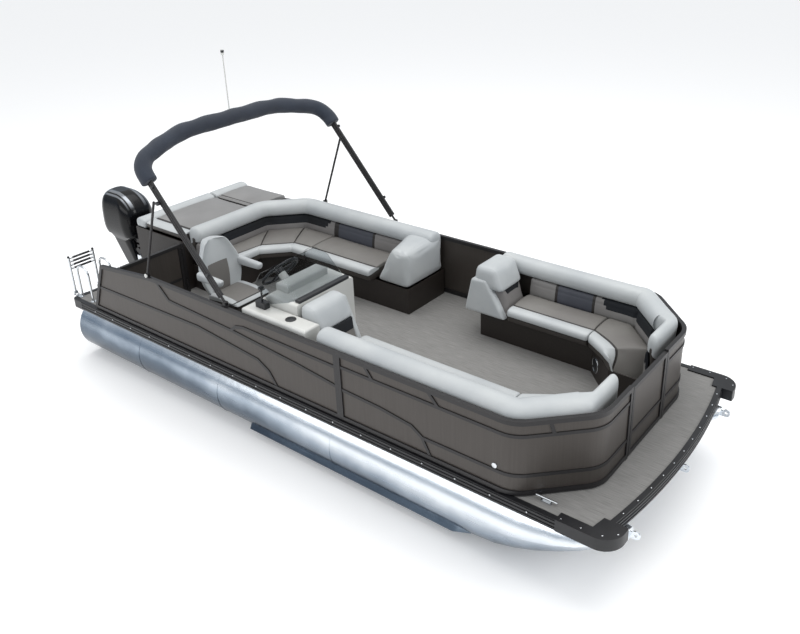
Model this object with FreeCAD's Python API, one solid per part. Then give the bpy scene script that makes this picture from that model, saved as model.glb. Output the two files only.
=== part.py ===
import FreeCAD, Part
import math
import os

V = FreeCAD.Vector
UP = V(0, 0, 1)
FORE = V(1, 0, 0)
PORT = V(0, 1, 0)

# Driving sizes, in millimetres. X runs to the bow, Y to port, Z up, floor at the keels.
deck_length = 6680.0
beam = 2590.0
tube_diameter = 635.0
tube_spacing = 940.0
keel_height = 20.0
deck_over_axis = 420.0
deck_thickness = 22.0
fence_height = 676.0
seat_height = 430.0
back_height = 750.0
sunpad_height = 680.0
seating_gap = 0.3
overrun = 5.0

# Heights that follow from them
tube_radius = tube_diameter / 2
axis_height = keel_height + tube_radius
deck_top = axis_height + deck_over_axis
deck_bottom = deck_top - deck_thickness
stern_x = -deck_length / 2


def at(station, y=0.0, z=0.0):
    """A point by its distance from the deck's aft edge, its offset to port and its height."""
    return V(stern_x + station, y, z)


def over_deck(station, y, height):
    """A point by its height over the deck."""
    return at(station, y, deck_top + height)


def box(low, high):
    """An upright box between two corners."""
    return Part.makeBox(high.x - low.x, high.y - low.y, high.z - low.z, low)


def rod(start, end, radius):
    """A round bar between two points."""
    run = end - start
    return Part.makeCylinder(radius, run.Length, start, run)


def cross_rod(middle, length, radius, direction=PORT):
    """A round bar about its middle."""
    return Part.makeCylinder(radius, length, middle - direction * (length / 2), direction)


def bent(points, bend):
    """Straight runs joined by arcs of one radius, or of one for each corner."""
    bends = bend if isinstance(bend, list) else [bend] * len(points)
    edges = []
    start = points[0]
    for index in range(1, len(points) - 1):
        corner = points[index]
        bend = bends[index - 1]
        back = (points[index - 1] - corner).normalize()
        ahead = (points[index + 1] - corner).normalize()
        half = back.getAngle(ahead) / 2
        reach = bend / math.tan(half)
        first = corner + back * reach
        last = corner + ahead * reach
        crown = corner + (back + ahead).normalize() * (bend / math.sin(half) - bend)
        edges.append(Part.LineSegment(start, first).toShape())
        edges.append(Part.Arc(first, crown, last).toShape())
        start = last
    edges.append(Part.LineSegment(start, points[-1]).toShape())
    return edges


def pipe(points, bend, radius):
    """A round tube along straight runs joined by arcs."""
    ring = Part.Wire(Part.Circle(points[0], points[1] - points[0], radius).toShape())
    return Part.Wire(bent(points, bend)).makePipeShell([ring], True, False)


def outline(points, push):
    """A flat outline given as points, pushed along a vector."""
    return Part.Face(Part.makePolygon(points + [points[0]])).extrude(push)


def prism(points, low, high):
    """A plan outline raised from one height to another."""
    return outline([V(p.x, p.y, low) for p in points], UP * (high - low))


def slab(points, y_low, y_high):
    """A side outline, given as points in X and Z, run across the boat."""
    return outline([V(p.x, y_low, p.z) for p in points], PORT * (y_high - y_low))


def fuse(shapes):
    """One solid from touching solids."""
    whole = shapes[0]
    if len(shapes) > 1:
        whole = shapes[0].fuse(shapes[1:])
    return whole.removeSplitter()


def cut_all(shape, tools):
    for tool in tools:
        shape = shape.cut(tool)
    return shape


def mirrored(shape):
    """The same piece on the other side of the boat."""
    return shape.mirror(V(0, 0, 0), PORT)


def across(point):
    """The same point on the other side of the boat."""
    return V(point.x, -point.y, point.z)


def ring(centre, half_x, half_y, corner_share):
    """A level rounded rectangle about a point, its corners a share of its shorter half."""
    bend = min(half_x, half_y) * corner_share
    reach_x = half_x - bend
    reach_y = half_y - bend
    edges = []
    last = None
    first = None
    for turn, (x, y) in enumerate(((1, 1), (-1, 1), (-1, -1), (1, -1))):
        middle = centre + V(x * reach_x, y * reach_y, 0)
        angles = [math.radians(90 * turn + step) for step in (0, 45, 90)]
        arc = [middle + V(math.cos(a), math.sin(a), 0) * bend for a in angles]
        if last:
            edges.append(Part.LineSegment(last, arc[0]).toShape())
        first = first or arc[0]
        edges.append(Part.Arc(*arc).toShape())
        last = arc[2]
    edges.append(Part.LineSegment(last, first).toShape())
    return Part.Wire(edges)


def shifted(points, distance):
    """A plan path moved sideways, to its left where the distance is positive."""
    moved = []
    for index, point in enumerate(points):
        sides = []
        if index > 0:
            sides.append((point - points[index - 1]).normalize())
        if index < len(points) - 1:
            sides.append((points[index + 1] - point).normalize())
        normals = [V(-s.y, s.x, 0) for s in sides]
        if len(normals) == 1:
            moved.append(point + normals[0] * distance)
        else:
            middle = (normals[0] + normals[1]).normalize()
            moved.append(point + middle * (distance / middle.dot(normals[0])))
    return moved


def rounded(points, radius, sideways=0.0):
    """Edges of a plan path with its corners rounded, moved sideways by a distance."""
    moved = shifted(points, sideways)
    edges = []
    start = moved[0]
    for index in range(1, len(moved) - 1):
        turn = UP.dot((moved[index] - moved[index - 1]).cross(moved[index + 1] - moved[index]))
        bend = radius - math.copysign(sideways, turn)
        legs = bent([start, moved[index], moved[index + 1]], bend)
        edges += legs[:2]
        start = legs[1].Vertexes[-1].Point
    edges.append(Part.LineSegment(start, moved[-1]).toShape())
    return edges


def band(points, radius, width, low, high, sideways=0.0, push=None):
    """A wall of even width along a rounded plan path, upright or pushed along a vector."""
    flat = [V(p.x, p.y, low) for p in points]
    left = rounded(flat, radius, sideways + width / 2)
    right = rounded(flat, radius, sideways - width / 2)
    ends_left = shifted(flat, sideways + width / 2)
    ends_right = shifted(flat, sideways - width / 2)
    caps = [Part.LineSegment(ends_left[0], ends_right[0]).toShape(),
            Part.LineSegment(ends_left[-1], ends_right[-1]).toShape()]
    loop = Part.Wire(Part.__sortEdges__(left + right + caps))
    return Part.Face(loop).extrude(push or UP * (high - low))


def bars(points, normal, width, height):
    """Flat bars along straight runs in an upright plane, round where they meet."""
    parts = []
    for start, end in zip(points, points[1:]):
        side = (end - start).cross(normal).normalize() * (height / 2)
        parts.append(outline([start + side, end + side, end - side, start - side], normal * width))
    for corner in points[1:-1]:
        parts.append(Part.makeCylinder(height / 2, width, corner, normal))
    return parts


def softened(shape, radius, low=None, high=None):
    """Rounds the upright edges, or the level edges between two heights."""
    chosen = []
    for edge in shape.Edges:
        box_ = edge.BoundBox
        upright = box_.ZLength > edge.Length - overrun
        if low is None and upright:
            chosen.append(edge)
        if low is not None and box_.ZLength < overrun and low < box_.ZMin < high:
            chosen.append(edge)
    return shape.makeFillet(radius, chosen)


# Cross members and deck: fifteen channels carry a board with a ribbed black edge
channel_height = 52.0
channel_wall = 6.0
channel_flange = 50.0
channel_count = 15
channel_bottom = deck_bottom - channel_height
channel_first = 200.0
channel_last = 6300.0
rail_rib = 6.0
rail_wall = 19.0
rail_reach = rail_rib + rail_wall
rail_drop = 91.0
rail_rise = 6.0
rail_lip = 54.0
rib_height = 14.0
rib_shares = (0.18, 0.5, 0.82)
bow_corner = 170.0
stern_corner = 60.0
casting_length = 470.0
casting_reach = 225.0
bow_sag = 95.0
casting_lip = 95.0
casting_rise = 14.0
stern_casting = 190.0
bow_trim = 48.0


def deck_plan(inset, low, high):
    """The deck's straight-sided plan, drawn in by a distance, with its rounded corners."""
    corner = V(inset, inset, 0)
    whole = box(at(0, -beam / 2, low) + corner, at(deck_length, beam / 2, high) - corner)
    upright = [e for e in whole.Edges if e.BoundBox.XLength + e.BoundBox.YLength < rail_rise]
    bow = [e for e in upright if e.BoundBox.XMin > 0]
    whole = whole.makeFillet(bow_corner - inset, bow)
    upright = [e for e in whole.Edges if e.BoundBox.XLength + e.BoundBox.YLength < rail_rise]
    stern = [e for e in upright if e.BoundBox.XMax < stern_x + inset + rail_rise]
    return whole.makeFillet(max(stern_corner - inset, rail_rise), stern)


def deck_outline(inset, low, high):
    """The deck's plan with the shallow curve of its bow between the corner castings."""
    half = beam / 2 - casting_reach
    radius = (half ** 2 + bow_sag ** 2) / (2 * bow_sag)
    curve = Part.makeCylinder(radius - inset, high - low, at(deck_length - radius, 0, low), UP)
    return deck_plan(inset, low, high).common(curve)


def rim(outer, inner, low, high):
    return deck_outline(outer, low, high).cut(deck_outline(inner, low - overrun, high + overrun))


def channel(station):
    """One cross member, a channel open to the bow."""
    half = beam / 2 - rail_reach
    outer = box(at(station, -half, channel_bottom),
                at(station + channel_flange, half, deck_bottom))
    inner = box(at(station + channel_wall, -half - overrun, channel_bottom + channel_wall),
                at(station + channel_flange + overrun, half + overrun, deck_bottom - channel_wall))
    return outer.cut(inner)


def deck_pieces():
    pitch = (channel_last - channel_first) / (channel_count - 1)
    members = [channel(channel_first + pitch * i) for i in range(channel_count)]
    board = deck_outline(rail_reach, deck_bottom, deck_top)
    low = deck_top - rail_drop
    high = deck_top + rail_rise
    parts = [rim(rail_rib, rail_reach, low, high), rim(rail_rib, rail_lip, deck_top, high)]
    for share in rib_shares:
        middle = low + (high - low) * share
        parts.append(rim(0, rail_reach, middle - rib_height / 2, middle + rib_height / 2))
    hole = deck_outline(rail_reach, low - overrun, high + overrun)
    skirt = deck_plan(0, low, high).cut(hole)
    lip = deck_plan(0, deck_top, deck_top + casting_rise).cut(
        deck_outline(casting_lip, deck_top - overrun, deck_top + casting_rise + overrun))
    trim = rim(rail_rib, bow_trim, deck_top, deck_top + casting_rise)
    parts.append(trim.common(box(at(deck_length - casting_lip - bow_sag, -beam / 2, deck_top),
                                 at(deck_length, beam / 2, deck_top + casting_rise))))
    for side in (-1, 1):
        ends = sorted((side * (beam / 2), side * (beam / 2 - casting_reach)))
        bow = box(at(deck_length - casting_length, ends[0], low),
                  at(deck_length, ends[1], deck_top + casting_rise))
        parts += [skirt.common(bow), lip.common(bow)]
        ends = sorted((side * (beam / 2), side * (beam / 2 - stern_casting)))
        stern = box(at(0, ends[0], low), at(stern_casting, ends[1], high))
        parts.append(skirt.common(stern))
    return {"cross_channels": Part.makeCompound(members), "deck_board": board,
            "rub_rail": fuse(parts)}


# Tubes: three round floats with raised noses, keels, strakes, risers and bow eyes
tube_aft = -30.0
centre_tube_aft = 420.0
nose_start = 5430.0
nose_end = 6640.0
nose_tip_radius = 40.0
nose_shares = [(0.0, 1.0, 1.0, 1.0), (0.15, 0.995, 0.98, 0.965), (0.3, 0.975, 0.92, 0.87),
               (0.45, 0.925, 0.83, 0.74), (0.6, 0.84, 0.71, 0.585), (0.73, 0.72, 0.58, 0.45),
               (0.84, 0.57, 0.44, 0.33), (0.93, 0.4, 0.3, 0.22), (1.0, 0.2, 0.16, 0.13)]
keel_width = 60.0
weld_bite = 8.0
riser_spread = 88.0
riser_width = 30.0
eye_thickness = 12.0
eye_radius = 36.0
eye_hole_radius = 13.0
eye_out = 45.0
strake_start = 2790.0
strake_end = 5400.0
strake_size = 55.0
strake_taper = 160.0
strake_tip = 6.0
strake_angle = 40.0
seam_rise = 2.5
seam_width = 9.0
seam_shares = (0.205, 0.44, 0.72)
end_cap = 4.0


def nose(y):
    """The rising bow of a float: arcs over and under a chine that sharpens forward."""
    rings = []
    for along, wide, tall, deep in nose_shares:
        x = nose_start + (nose_end - nose_start) * along
        chine = axis_height + tube_radius * (1 - tall)
        ends = [at(x, y - tube_radius * wide, chine), at(x, y + tube_radius * wide, chine)]
        over = Part.Arc(ends[0], at(x, y, chine + tube_radius * tall), ends[1])
        under = Part.Arc(ends[1], at(x, y, chine - tube_radius * deep), ends[0])
        rings.append(Part.Wire([over.toShape(), under.toShape()]))
    return Part.makeLoft(rings, True, True)


def strake(y, side):
    """A lifting strake, welded low on a float's side and tapered at its front."""
    tilt = math.radians(strake_angle)
    out = V(0, side * math.cos(tilt), -math.sin(tilt))
    along = V(0, side * math.sin(tilt), math.cos(tilt)) * (strake_size / 2)
    rings = []
    for station, reach in ((strake_start, strake_size), (strake_end - strake_taper, strake_size),
                           (strake_end, strake_tip)):
        root = at(station, y, axis_height) + out * (tube_radius - weld_bite)
        tip = at(station, y, axis_height) + out * (tube_radius + reach)
        rings.append(Part.makePolygon([root + along, tip, root - along, root + along]))
    return Part.makeLoft(rings, True, True)


def tube(y, aft):
    """One float with everything welded to it."""
    parts = [Part.makeCylinder(tube_radius, nose_start - aft, at(aft, y, axis_height), FORE),
             nose(y),
             Part.makeCylinder(tube_radius - nose_tip_radius, end_cap,
                               at(aft - end_cap, y, axis_height), FORE),
             box(at(aft, y - keel_width / 2, 0),
                 at(nose_start, y + keel_width / 2, keel_height + weld_bite))]
    for share in seam_shares:
        parts.append(Part.makeCylinder(tube_radius + seam_rise, seam_width,
                                       at(aft + (nose_start - aft) * share, y, axis_height), FORE))
    foot = axis_height + math.sqrt(tube_radius ** 2 - (riser_spread + riser_width / 2) ** 2)
    for side in (-1, 1):
        middle = y + side * riser_spread
        parts.append(box(at(max(aft, 0) + rail_lip, middle - riser_width / 2, foot - weld_bite),
                         at(nose_start, middle + riser_width / 2, channel_bottom)))
        parts.append(strake(y, side))
    tip_z = axis_height + tube_radius - nose_tip_radius
    centre = at(nose_end + eye_out, y, tip_z)
    parts.append(cross_rod(centre, eye_thickness, eye_radius))
    parts.append(box(at(nose_end - eye_radius, y - eye_thickness / 2, tip_z - eye_radius),
                     at(nose_end + eye_out, y + eye_thickness / 2, tip_z + eye_radius / 2)))
    return fuse(parts).cut(cross_rod(centre, eye_thickness * 2, eye_hole_radius))


def tubes():
    return {"tube_port": tube(tube_spacing, tube_aft), "tube_centre": tube(0.0, centre_tube_aft),
            "tube_starboard": tube(-tube_spacing, tube_aft)}


# Fence: a frame of rails and posts, bent round the bow corners, over thin panels
fence_y = 1255.0
fence_front = 6304.0
fence_corner_aft = 5820.0
fence_corner_y = 770.0
fence_bend = 260.0
gate_half = 330.0
post_width = 36.0
rail_width = 36.0
rail_height = 38.0
trim_height = 28.0
trim_width = 8.0
panel_width = 12.0
rail_bottom = 14.0
fence_foot = 450.0
fence_rake = 260.0
fence_drop = 93.0
slope_run = 1120.0
mid_post = 4102.0
foot_pitch = 1300.0
foot_count = 5
aft_low_shares = [(0.03, 0.44), (0.493, 0.488), (0.722, 0.37), (0.76, 0.251), (0.787, 0.04)]
aft_high_shares = [(0.335, 0.96), (0.381, 0.725), (0.635, 0.666), (0.872, 0.562), (0.99, 0.488)]
aft_slot_shares = [(0.63, 0.666), (0.65, 0.755), (0.68, 0.79), (0.99, 0.769)]
fore_low_shares = [(0.01, 0.473), (0.265, 0.444), (0.453, 0.385), (0.512, 0.29), (0.565, 0.04)]
fore_strut_shares = [((0.176, 0.96), (0.224, 0.8)), ((0.553, 0.96), (0.612, 0.8))]
corner_strut_share = 0.45
low_band_share = 0.281
high_band_share = 0.8
low_band_start_share = 0.512


def fence_path(start):
    return [at(start, fence_y), at(fence_corner_aft, fence_y),
            at(fence_front, fence_corner_y), at(fence_front, gate_half)]


def on_fence(shares, start, end, y):
    """Points on the side fence from shares of a bay's length and of the fence's height."""
    return [over_deck(start + (end - start) * along, y, fence_height * up) for along, up in shares]


def fence_trim():
    """The raised pattern on the panels' outer faces."""
    face = fence_y + panel_width / 2
    parts = []
    for shares in (aft_low_shares, aft_high_shares, aft_slot_shares):
        points = on_fence(shares, fence_foot, mid_post, face)
        parts += bars(points, PORT, trim_width, trim_height)
    parts += bars(on_fence(fore_low_shares, mid_post, fence_corner_aft, face), PORT,
                  trim_width, trim_height)
    for shares in fore_strut_shares:
        parts += bars(on_fence(shares, mid_post, fence_corner_aft, face), PORT,
                      trim_width, trim_height)
    beside = (panel_width + trim_width) / 2
    starts = (mid_post, mid_post + (fence_corner_aft - mid_post) * low_band_start_share)
    for start, share in zip(starts, (high_band_share, low_band_share)):
        middle = deck_top + fence_height * share
        parts.append(band(fence_path(start), fence_bend, trim_width, middle - trim_height / 2,
                          middle + trim_height / 2, beside))
    path = shifted(fence_path(mid_post), panel_width / 2)
    run = path[2] - path[1]
    foot = path[1] + run * corner_strut_share
    normal = V(-run.y, run.x, 0).normalize()
    low = V(foot.x, foot.y, deck_top + fence_height * high_band_share)
    high = low + UP * (fence_height * (1 - high_band_share)) - run.normalize() * rail_height
    parts += bars([low, high - UP * rail_height / 2], normal, trim_width, trim_height)
    return parts


def side_fence():
    """The port side's frame and panels; the starboard side mirrors them."""
    low = deck_top + rail_bottom
    top = deck_top + fence_height
    slope_end = fence_foot + slope_run
    inner = fence_y - rail_width / 2
    foot = over_deck(fence_foot + post_width / 2, inner, rail_bottom + rail_height / 2)
    rake_top = over_deck(fence_foot + fence_rake, inner, fence_height - fence_drop - rail_height / 2)
    level = over_deck(slope_end, inner, fence_height - rail_height / 2)
    parts = [band(fence_path(fence_foot), fence_bend, rail_width, low, low + rail_height),
             band(fence_path(slope_end), fence_bend, rail_width, top - rail_height, top)]
    parts += bars([foot, rake_top, level, level + FORE * rail_height], PORT, rail_width, rail_height)
    for station in (mid_post, mid_post - post_width - seating_gap):
        parts.append(box(over_deck(station, inner, rail_bottom),
                         over_deck(station + post_width, inner + rail_width, fence_height)))
    parts.append(box(over_deck(fence_front - rail_width / 2, gate_half, rail_bottom),
                     over_deck(fence_front + rail_width / 2, gate_half + post_width, fence_height)))
    for count in range(foot_count):
        station = fence_foot + post_width + foot_pitch * count
        parts.append(box(over_deck(station, inner, rail_rise),
                         over_deck(station + post_width, inner + rail_width, rail_bottom + overrun)))
    parts.append(box(over_deck(fence_front - rail_width / 2, gate_half, 0),
                     over_deck(fence_front + rail_width / 2, gate_half + post_width,
                               rail_bottom + overrun)))
    frame = fuse(parts + fence_trim())
    side = panel_width / 2
    aft = slab([over_deck(fence_foot + post_width / 2, 0, rail_bottom), rake_top, level,
                over_deck(mid_post, 0, fence_height - overrun),
                over_deck(mid_post, 0, rail_bottom)], fence_y - side, fence_y + side)
    fore = band(fence_path(mid_post), fence_bend, panel_width, low + overrun, top - overrun)
    panels = [max(sheet.cut(frame).Solids, key=lambda s: s.Volume) for sheet in (aft, fore)]
    return frame, Part.makeCompound(panels)


hinge_heights = (110.0, 500.0)
hinge_radius = 9.0
hinge_pin = 5.0
hinge_play = 0.05
hinge_out = 10.0
hinge_barrel = 34.0
hinge_knuckle = 18.0
hinge_tab = 16.0
hinge_bite = 3.0


def hinges(corner_x, middle_y, face, leaf):
    """Barrels for the leaf and knuckles with pins for the post; face and leaf are directions."""
    moving = []
    fixed = []
    bores = []
    axis_x = corner_x + face * hinge_out
    rise = hinge_barrel + seating_gap
    sink = -hinge_knuckle - seating_gap
    ends_x = sorted((axis_x + face * hinge_bite, corner_x - face * hinge_bite))
    for height in hinge_heights:
        foot = V(axis_x, middle_y, deck_top + height)
        fixed.append(Part.makeCylinder(hinge_pin, hinge_barrel + 2 * hinge_knuckle,
                                       foot - UP * hinge_knuckle, UP))
        bores.append(Part.makeCylinder(hinge_pin + hinge_play, hinge_barrel + 2 * overrun,
                                       foot - UP * overrun, UP))
        for group, side, start, tall in ((moving, leaf, 0.0, hinge_barrel),
                                         (fixed, -leaf, sink, hinge_knuckle),
                                         (fixed, -leaf, rise, hinge_knuckle)):
            group.append(Part.makeCylinder(hinge_radius, tall, foot + UP * start, UP))
            ends_y = sorted((middle_y + side * hinge_bite, middle_y + side * hinge_tab))
            group.append(box(V(ends_x[0], ends_y[0], foot.z + start),
                             V(ends_x[1], ends_y[1], foot.z + start + tall)))
    return moving, fixed, bores


def fences():
    frame, sheets = side_fence()
    knuckles = hinges(stern_x + fence_front - gate_depth / 2, gate_gap / 2 - gate_half, -1, 1)[1]
    return {"fence_frame_port": frame,
            "fence_frame_starboard": fuse([mirrored(frame)] + knuckles),
            "fence_panels_port": sheets, "fence_panels_starboard": mirrored(sheets)}


# Bow gate and stern gate, each a frame round a panel, hung on a post
gate_gap = 8.0
gate_depth = 36.0
stern_gate_station = 960.0
stern_gate_inner = -400.0
stern_gate_outer = -1200.0
stern_gate_height = 600.0
outer_post_width = 28.0


def gate_leaf(low, high):
    """A gate across the boat between two corners: its frame with a cross bar, and its panel."""
    wall = V(0, post_width, post_width)
    through = V(overrun, 0, 0)
    frame = box(low, high).cut(box(low + wall - through, high - wall + through))
    bar = low.z + (high.z - low.z) * low_band_share
    inset = V((gate_depth - panel_width) / 2, 0, 0)
    sheet = box(low + wall + inset, high - wall - inset)
    face = V(high.x - inset.x, low.y + post_width, bar)
    frame = fuse([frame, box(face, face + V(trim_width, high.y - low.y - 2 * post_width,
                                            trim_height))])
    return frame, sheet.cut(frame)


def gates():
    aft = fence_front - gate_depth / 2
    low = over_deck(aft, gate_gap - gate_half, rail_bottom)
    high = over_deck(aft + gate_depth, gate_half - gate_gap, fence_height - rail_bottom)
    bow_frame, bow_panel = gate_leaf(low, high)
    moving, knuckles, bores = hinges(stern_x + aft, gate_gap / 2 - gate_half, -1, 1)
    bow_frame = cut_all(fuse([bow_frame] + moving), bores)
    fore = stern_gate_station + gate_depth / 2
    inner = stern_gate_inner - post_width - gate_gap
    low = over_deck(fore - gate_depth, stern_gate_outer + gate_gap, rail_bottom)
    high = over_deck(fore, inner, stern_gate_height)
    stern_frame, stern_panel = gate_leaf(low, high)
    post = box(over_deck(fore - gate_depth, inner + gate_gap, 0),
               over_deck(fore, stern_gate_inner, stern_gate_height))
    outer_post = box(over_deck(fore - gate_depth, stern_gate_outer - outer_post_width, 0),
                     over_deck(fore, stern_gate_outer, stern_gate_height))
    moving, knuckles, bores = hinges(stern_x + fore, inner + gate_gap / 2, 1, -1)
    stern_frame = cut_all(fuse([stern_frame] + moving), bores)
    return {"bow_gate_frame": bow_frame, "bow_gate_panel": bow_panel,
            "stern_gate_frame": stern_frame, "stern_gate_panel": stern_panel,
            "stern_gate_posts": Part.makeCompound([fuse([post] + knuckles), outer_post])}


# Lounges: moulded bases with lockers, cushions and rolled backs
base_wall = 15.0
base_height = 290.0
cushion_gap = 6.0
back_width = 190.0
back_bend = 200.0
back_round = 55.0
cushion_round = 28.0
seat_overhang = 110.0
lounge_outer = 1215.0
aft_back = 940.0
aft_inner_end = -300.0
aft_corner_y = 780.0
aft_corner_station = 1370.0
aft_front_station = 1500.0
aft_front_y = 470.0
knee = 260.0
lid_split = 1950.0
arm_start = 2930.0
arm_end = 3380.0
arm_y = 570.0
arm_lean = 250.0
arm_tuck = 20.0
arm_fall = 75.0
arm_front_lean = 15.0


def locker(points):
    """A hollow base with an open top, from its plan points given clockwise."""
    outer = prism(points, deck_top, deck_top + base_height)
    inner = shifted([points[-1]] + points + [points[0]], -base_wall)[1:-1]
    return outer.cut(prism(inner, deck_top + base_wall, deck_top + base_height + overrun))


def cushion(points, low, high, clear=None):
    """A seat cushion with a rounded upper edge, cut back where a roll has to stay clear."""
    plain = prism(points, deck_top + low, deck_top + high)
    if clear:
        plain = plain.cut(clear)
    return softened(plain, cushion_round, deck_top + high - overrun, deck_top + high + overrun)


def beside_roll(path, bend):
    """The room that a padded back takes from its seat, with the gap between them."""
    return band(path, bend, back_width + 2 * cushion_gap, deck_top, deck_top + back_height)


def roll(path, bend, low, high):
    """A padded back along a plan path, round along its top."""
    plain = band(path, bend, back_width, deck_top + low, deck_top + high)
    return softened(plain, back_round, deck_top + high - overrun, deck_top + high + overrun)


def aft_lounge():
    front = aft_front_station - seat_overhang
    front_y = aft_front_y + seat_overhang
    base = [at(aft_back, aft_inner_end), at(aft_back, aft_corner_y),
            at(aft_corner_station, lounge_outer), at(arm_end, lounge_outer), at(arm_end, front_y),
            at(front + knee, front_y), at(front, front_y - knee), at(front, aft_inner_end)]
    roll_path = [at(aft_back + back_width / 2, aft_inner_end),
                 at(aft_back + back_width / 2, aft_corner_y - back_round),
                 at(aft_corner_station + back_round, lounge_outer - back_width / 2),
                 at(arm_start, lounge_outer - back_width / 2)]
    inner = shifted(roll_path, -back_width / 2 - cushion_gap)
    clear = beside_roll([roll_path[0] - PORT * overrun] + roll_path[1:], back_bend)
    fixed = [V(roll_path[0].x, aft_inner_end, 0), roll_path[1], roll_path[2],
             at(lid_split, roll_path[3].y), at(lid_split, aft_front_y),
             at(aft_front_station + knee, aft_front_y),
             at(aft_front_station, aft_front_y - knee), at(aft_front_station, aft_inner_end)]
    lid = [at(lid_split + cushion_gap, inner[3].y), at(arm_start - cushion_gap, inner[3].y),
           at(arm_start - cushion_gap, aft_front_y), at(lid_split + cushion_gap, aft_front_y)]
    low = base_height + seating_gap
    back = roll(roll_path, back_bend, low, back_height)
    start = arm_start + seating_gap
    front = arm_end - arm_front_lean
    arm_top = back_height - arm_fall
    foot = [over_deck(start, arm_y, low), over_deck(arm_end, arm_y, low),
            over_deck(arm_end, lounge_outer, low), over_deck(start, lounge_outer, low)]
    head = [over_deck(start + arm_lean, arm_y + arm_tuck, arm_top),
            over_deck(front, arm_y + arm_tuck, arm_top),
            over_deck(front, lounge_outer, back_height), over_deck(start, lounge_outer, back_height)]
    arm = Part.makeLoft([Part.makePolygon(foot + foot[:1]), Part.makePolygon(head + head[:1])],
                        True, True)
    return {"aft_lounge_base": locker(base), "aft_seat_fixed": cushion(fixed, low, seat_height, clear),
            "aft_seat_lid": cushion(lid, low, seat_height),
            "aft_lounge_back": Part.makeCompound([back, arm])}


# Sunpad over the stern locker, with a raised roll along its aft edge
sunpad_aft = 70.0
sunpad_starboard = -380.0
sunpad_thickness = 90.0
sunpad_roll = 110.0
sunpad_roll_rise = 20.0
sunpad_seam_y = 680.0


def sunpad():
    top = sunpad_height - sunpad_thickness
    low = top + seating_gap
    front = aft_back - cushion_gap
    walls = [at(sunpad_aft, sunpad_starboard), at(sunpad_aft, lounge_outer),
             at(front, lounge_outer), at(front, sunpad_starboard)]
    inner = shifted([walls[-1]] + walls + [walls[0]], -base_wall)[1:-1]
    base = prism(walls, deck_top, deck_top + top)
    base = base.cut(prism(inner, deck_top + base_wall, deck_top + top + overrun))
    pad_aft = sunpad_aft + sunpad_roll
    pads = [cushion([at(pad_aft, y_low), at(pad_aft, y_high), at(front, y_high), at(front, y_low)],
                    low, sunpad_height)
            for y_low, y_high in ((sunpad_starboard, sunpad_seam_y - seating_gap),
                                  (sunpad_seam_y, lounge_outer))]
    edge = pad_aft - seating_gap
    pads.append(cushion([at(sunpad_aft, sunpad_starboard), at(sunpad_aft, lounge_outer),
                         at(edge, lounge_outer), at(edge, sunpad_starboard)],
                        low, sunpad_height + sunpad_roll_rise))
    return {"sunpad_base": base, "sunpad_lid": Part.makeCompound(pads)}


# Bow lounges, port and starboard, wrapped round the fence's corners
back_inset = 150.0
bow_bend = 170.0
bow_base_aft = 4240.0
bow_seat_start = 4600.0
bow_front_y = 560.0
bow_knee = 5480.0
bow_end_y = 345.0
bow_end = 5800.0
shell_aft = 4100.0
shell_rise = 30.0
shell_top_width = 200.0
shell_lean = 180.0


def bow_lounge(seat_start, base_start, roll_start):
    """The port bow lounge from given starts; the starboard one mirrors it."""
    path = fence_path(fence_foot)
    ends = shifted(path, -back_inset)
    ends[0] = at(roll_start, ends[0].y)
    ends[-1] = V(ends[-1].x, bow_end_y, 0)
    back = roll(ends, bow_bend, base_height + seating_gap, back_height)
    outer = shifted(path, back_width / 2 - back_inset)
    front_y = bow_front_y + seat_overhang
    base = [at(base_start, outer[0].y), outer[1], outer[2], V(outer[2].x, bow_end_y, 0),
            at(bow_end, bow_end_y), at(bow_knee, front_y), at(base_start, front_y)]
    inner = shifted(path, -back_inset - back_width / 2 - cushion_gap)
    lid = [at(seat_start + cushion_gap, inner[0].y), at(bow_knee - cushion_gap, inner[0].y),
           at(bow_knee - cushion_gap, bow_front_y), at(seat_start + cushion_gap, bow_front_y)]
    corner = [at(bow_knee, ends[0].y), ends[1], ends[2], V(ends[2].x, bow_end_y, 0),
              at(bow_end, bow_end_y), at(bow_knee, bow_front_y)]
    clear = beside_roll(ends[:-1] + [ends[-1] - PORT * overrun], bow_bend)
    low = base_height + seating_gap
    return locker(base), cushion(lid, low, seat_height), cushion(corner, low, seat_height, clear), back


def bow_lounges():
    low = base_height + seating_gap
    fore = bow_seat_start - cushion_gap
    top_aft = fore - shell_lean - shell_top_width
    base, lid, corner, back = bow_lounge(bow_seat_start, bow_base_aft, top_aft)
    shell_outer = fence_path(fence_foot)[0].y - back_inset - back_width / 2 - seating_gap
    shell = slab([over_deck(shell_aft, 0, low), over_deck(fore, 0, low),
                  over_deck(fore - shell_lean, 0, back_height + shell_rise),
                  over_deck(top_aft, 0, back_height + shell_rise)],
                 bow_front_y + cushion_gap, shell_outer)
    shell = softened(shell, cushion_round, deck_top + back_height, deck_top + back_height * 2)
    pieces = {"port_bow_base": base, "port_bow_lid": lid, "port_bow_seat": corner,
              "port_bow_back": Part.makeCompound([back, shell])}
    seat_start = console_front + rest_depth
    base, lid, corner, back = bow_lounge(seat_start, console_front + cushion_gap,
                                         seat_start - cushion_gap + seating_gap)
    pieces["starboard_bow_base"] = mirrored(base)
    pieces["starboard_bow_lid"] = mirrored(lid)
    pieces["starboard_bow_seat"] = mirrored(corner)
    aft = console_front + cushion_gap
    rest = slab([over_deck(aft, 0, low), over_deck(seat_start - cushion_gap, 0, low),
                 over_deck(aft + rest_top_width, 0, rest_height), over_deck(aft, 0, rest_height)],
                shelf_inner + cushion_gap, -bow_front_y)
    rest = softened(rest, cushion_round, deck_top + rest_height - overrun,
                    deck_top + rest_height + overrun)
    pieces["starboard_bow_back"] = Part.makeCompound([mirrored(back), rest])
    return pieces


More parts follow.
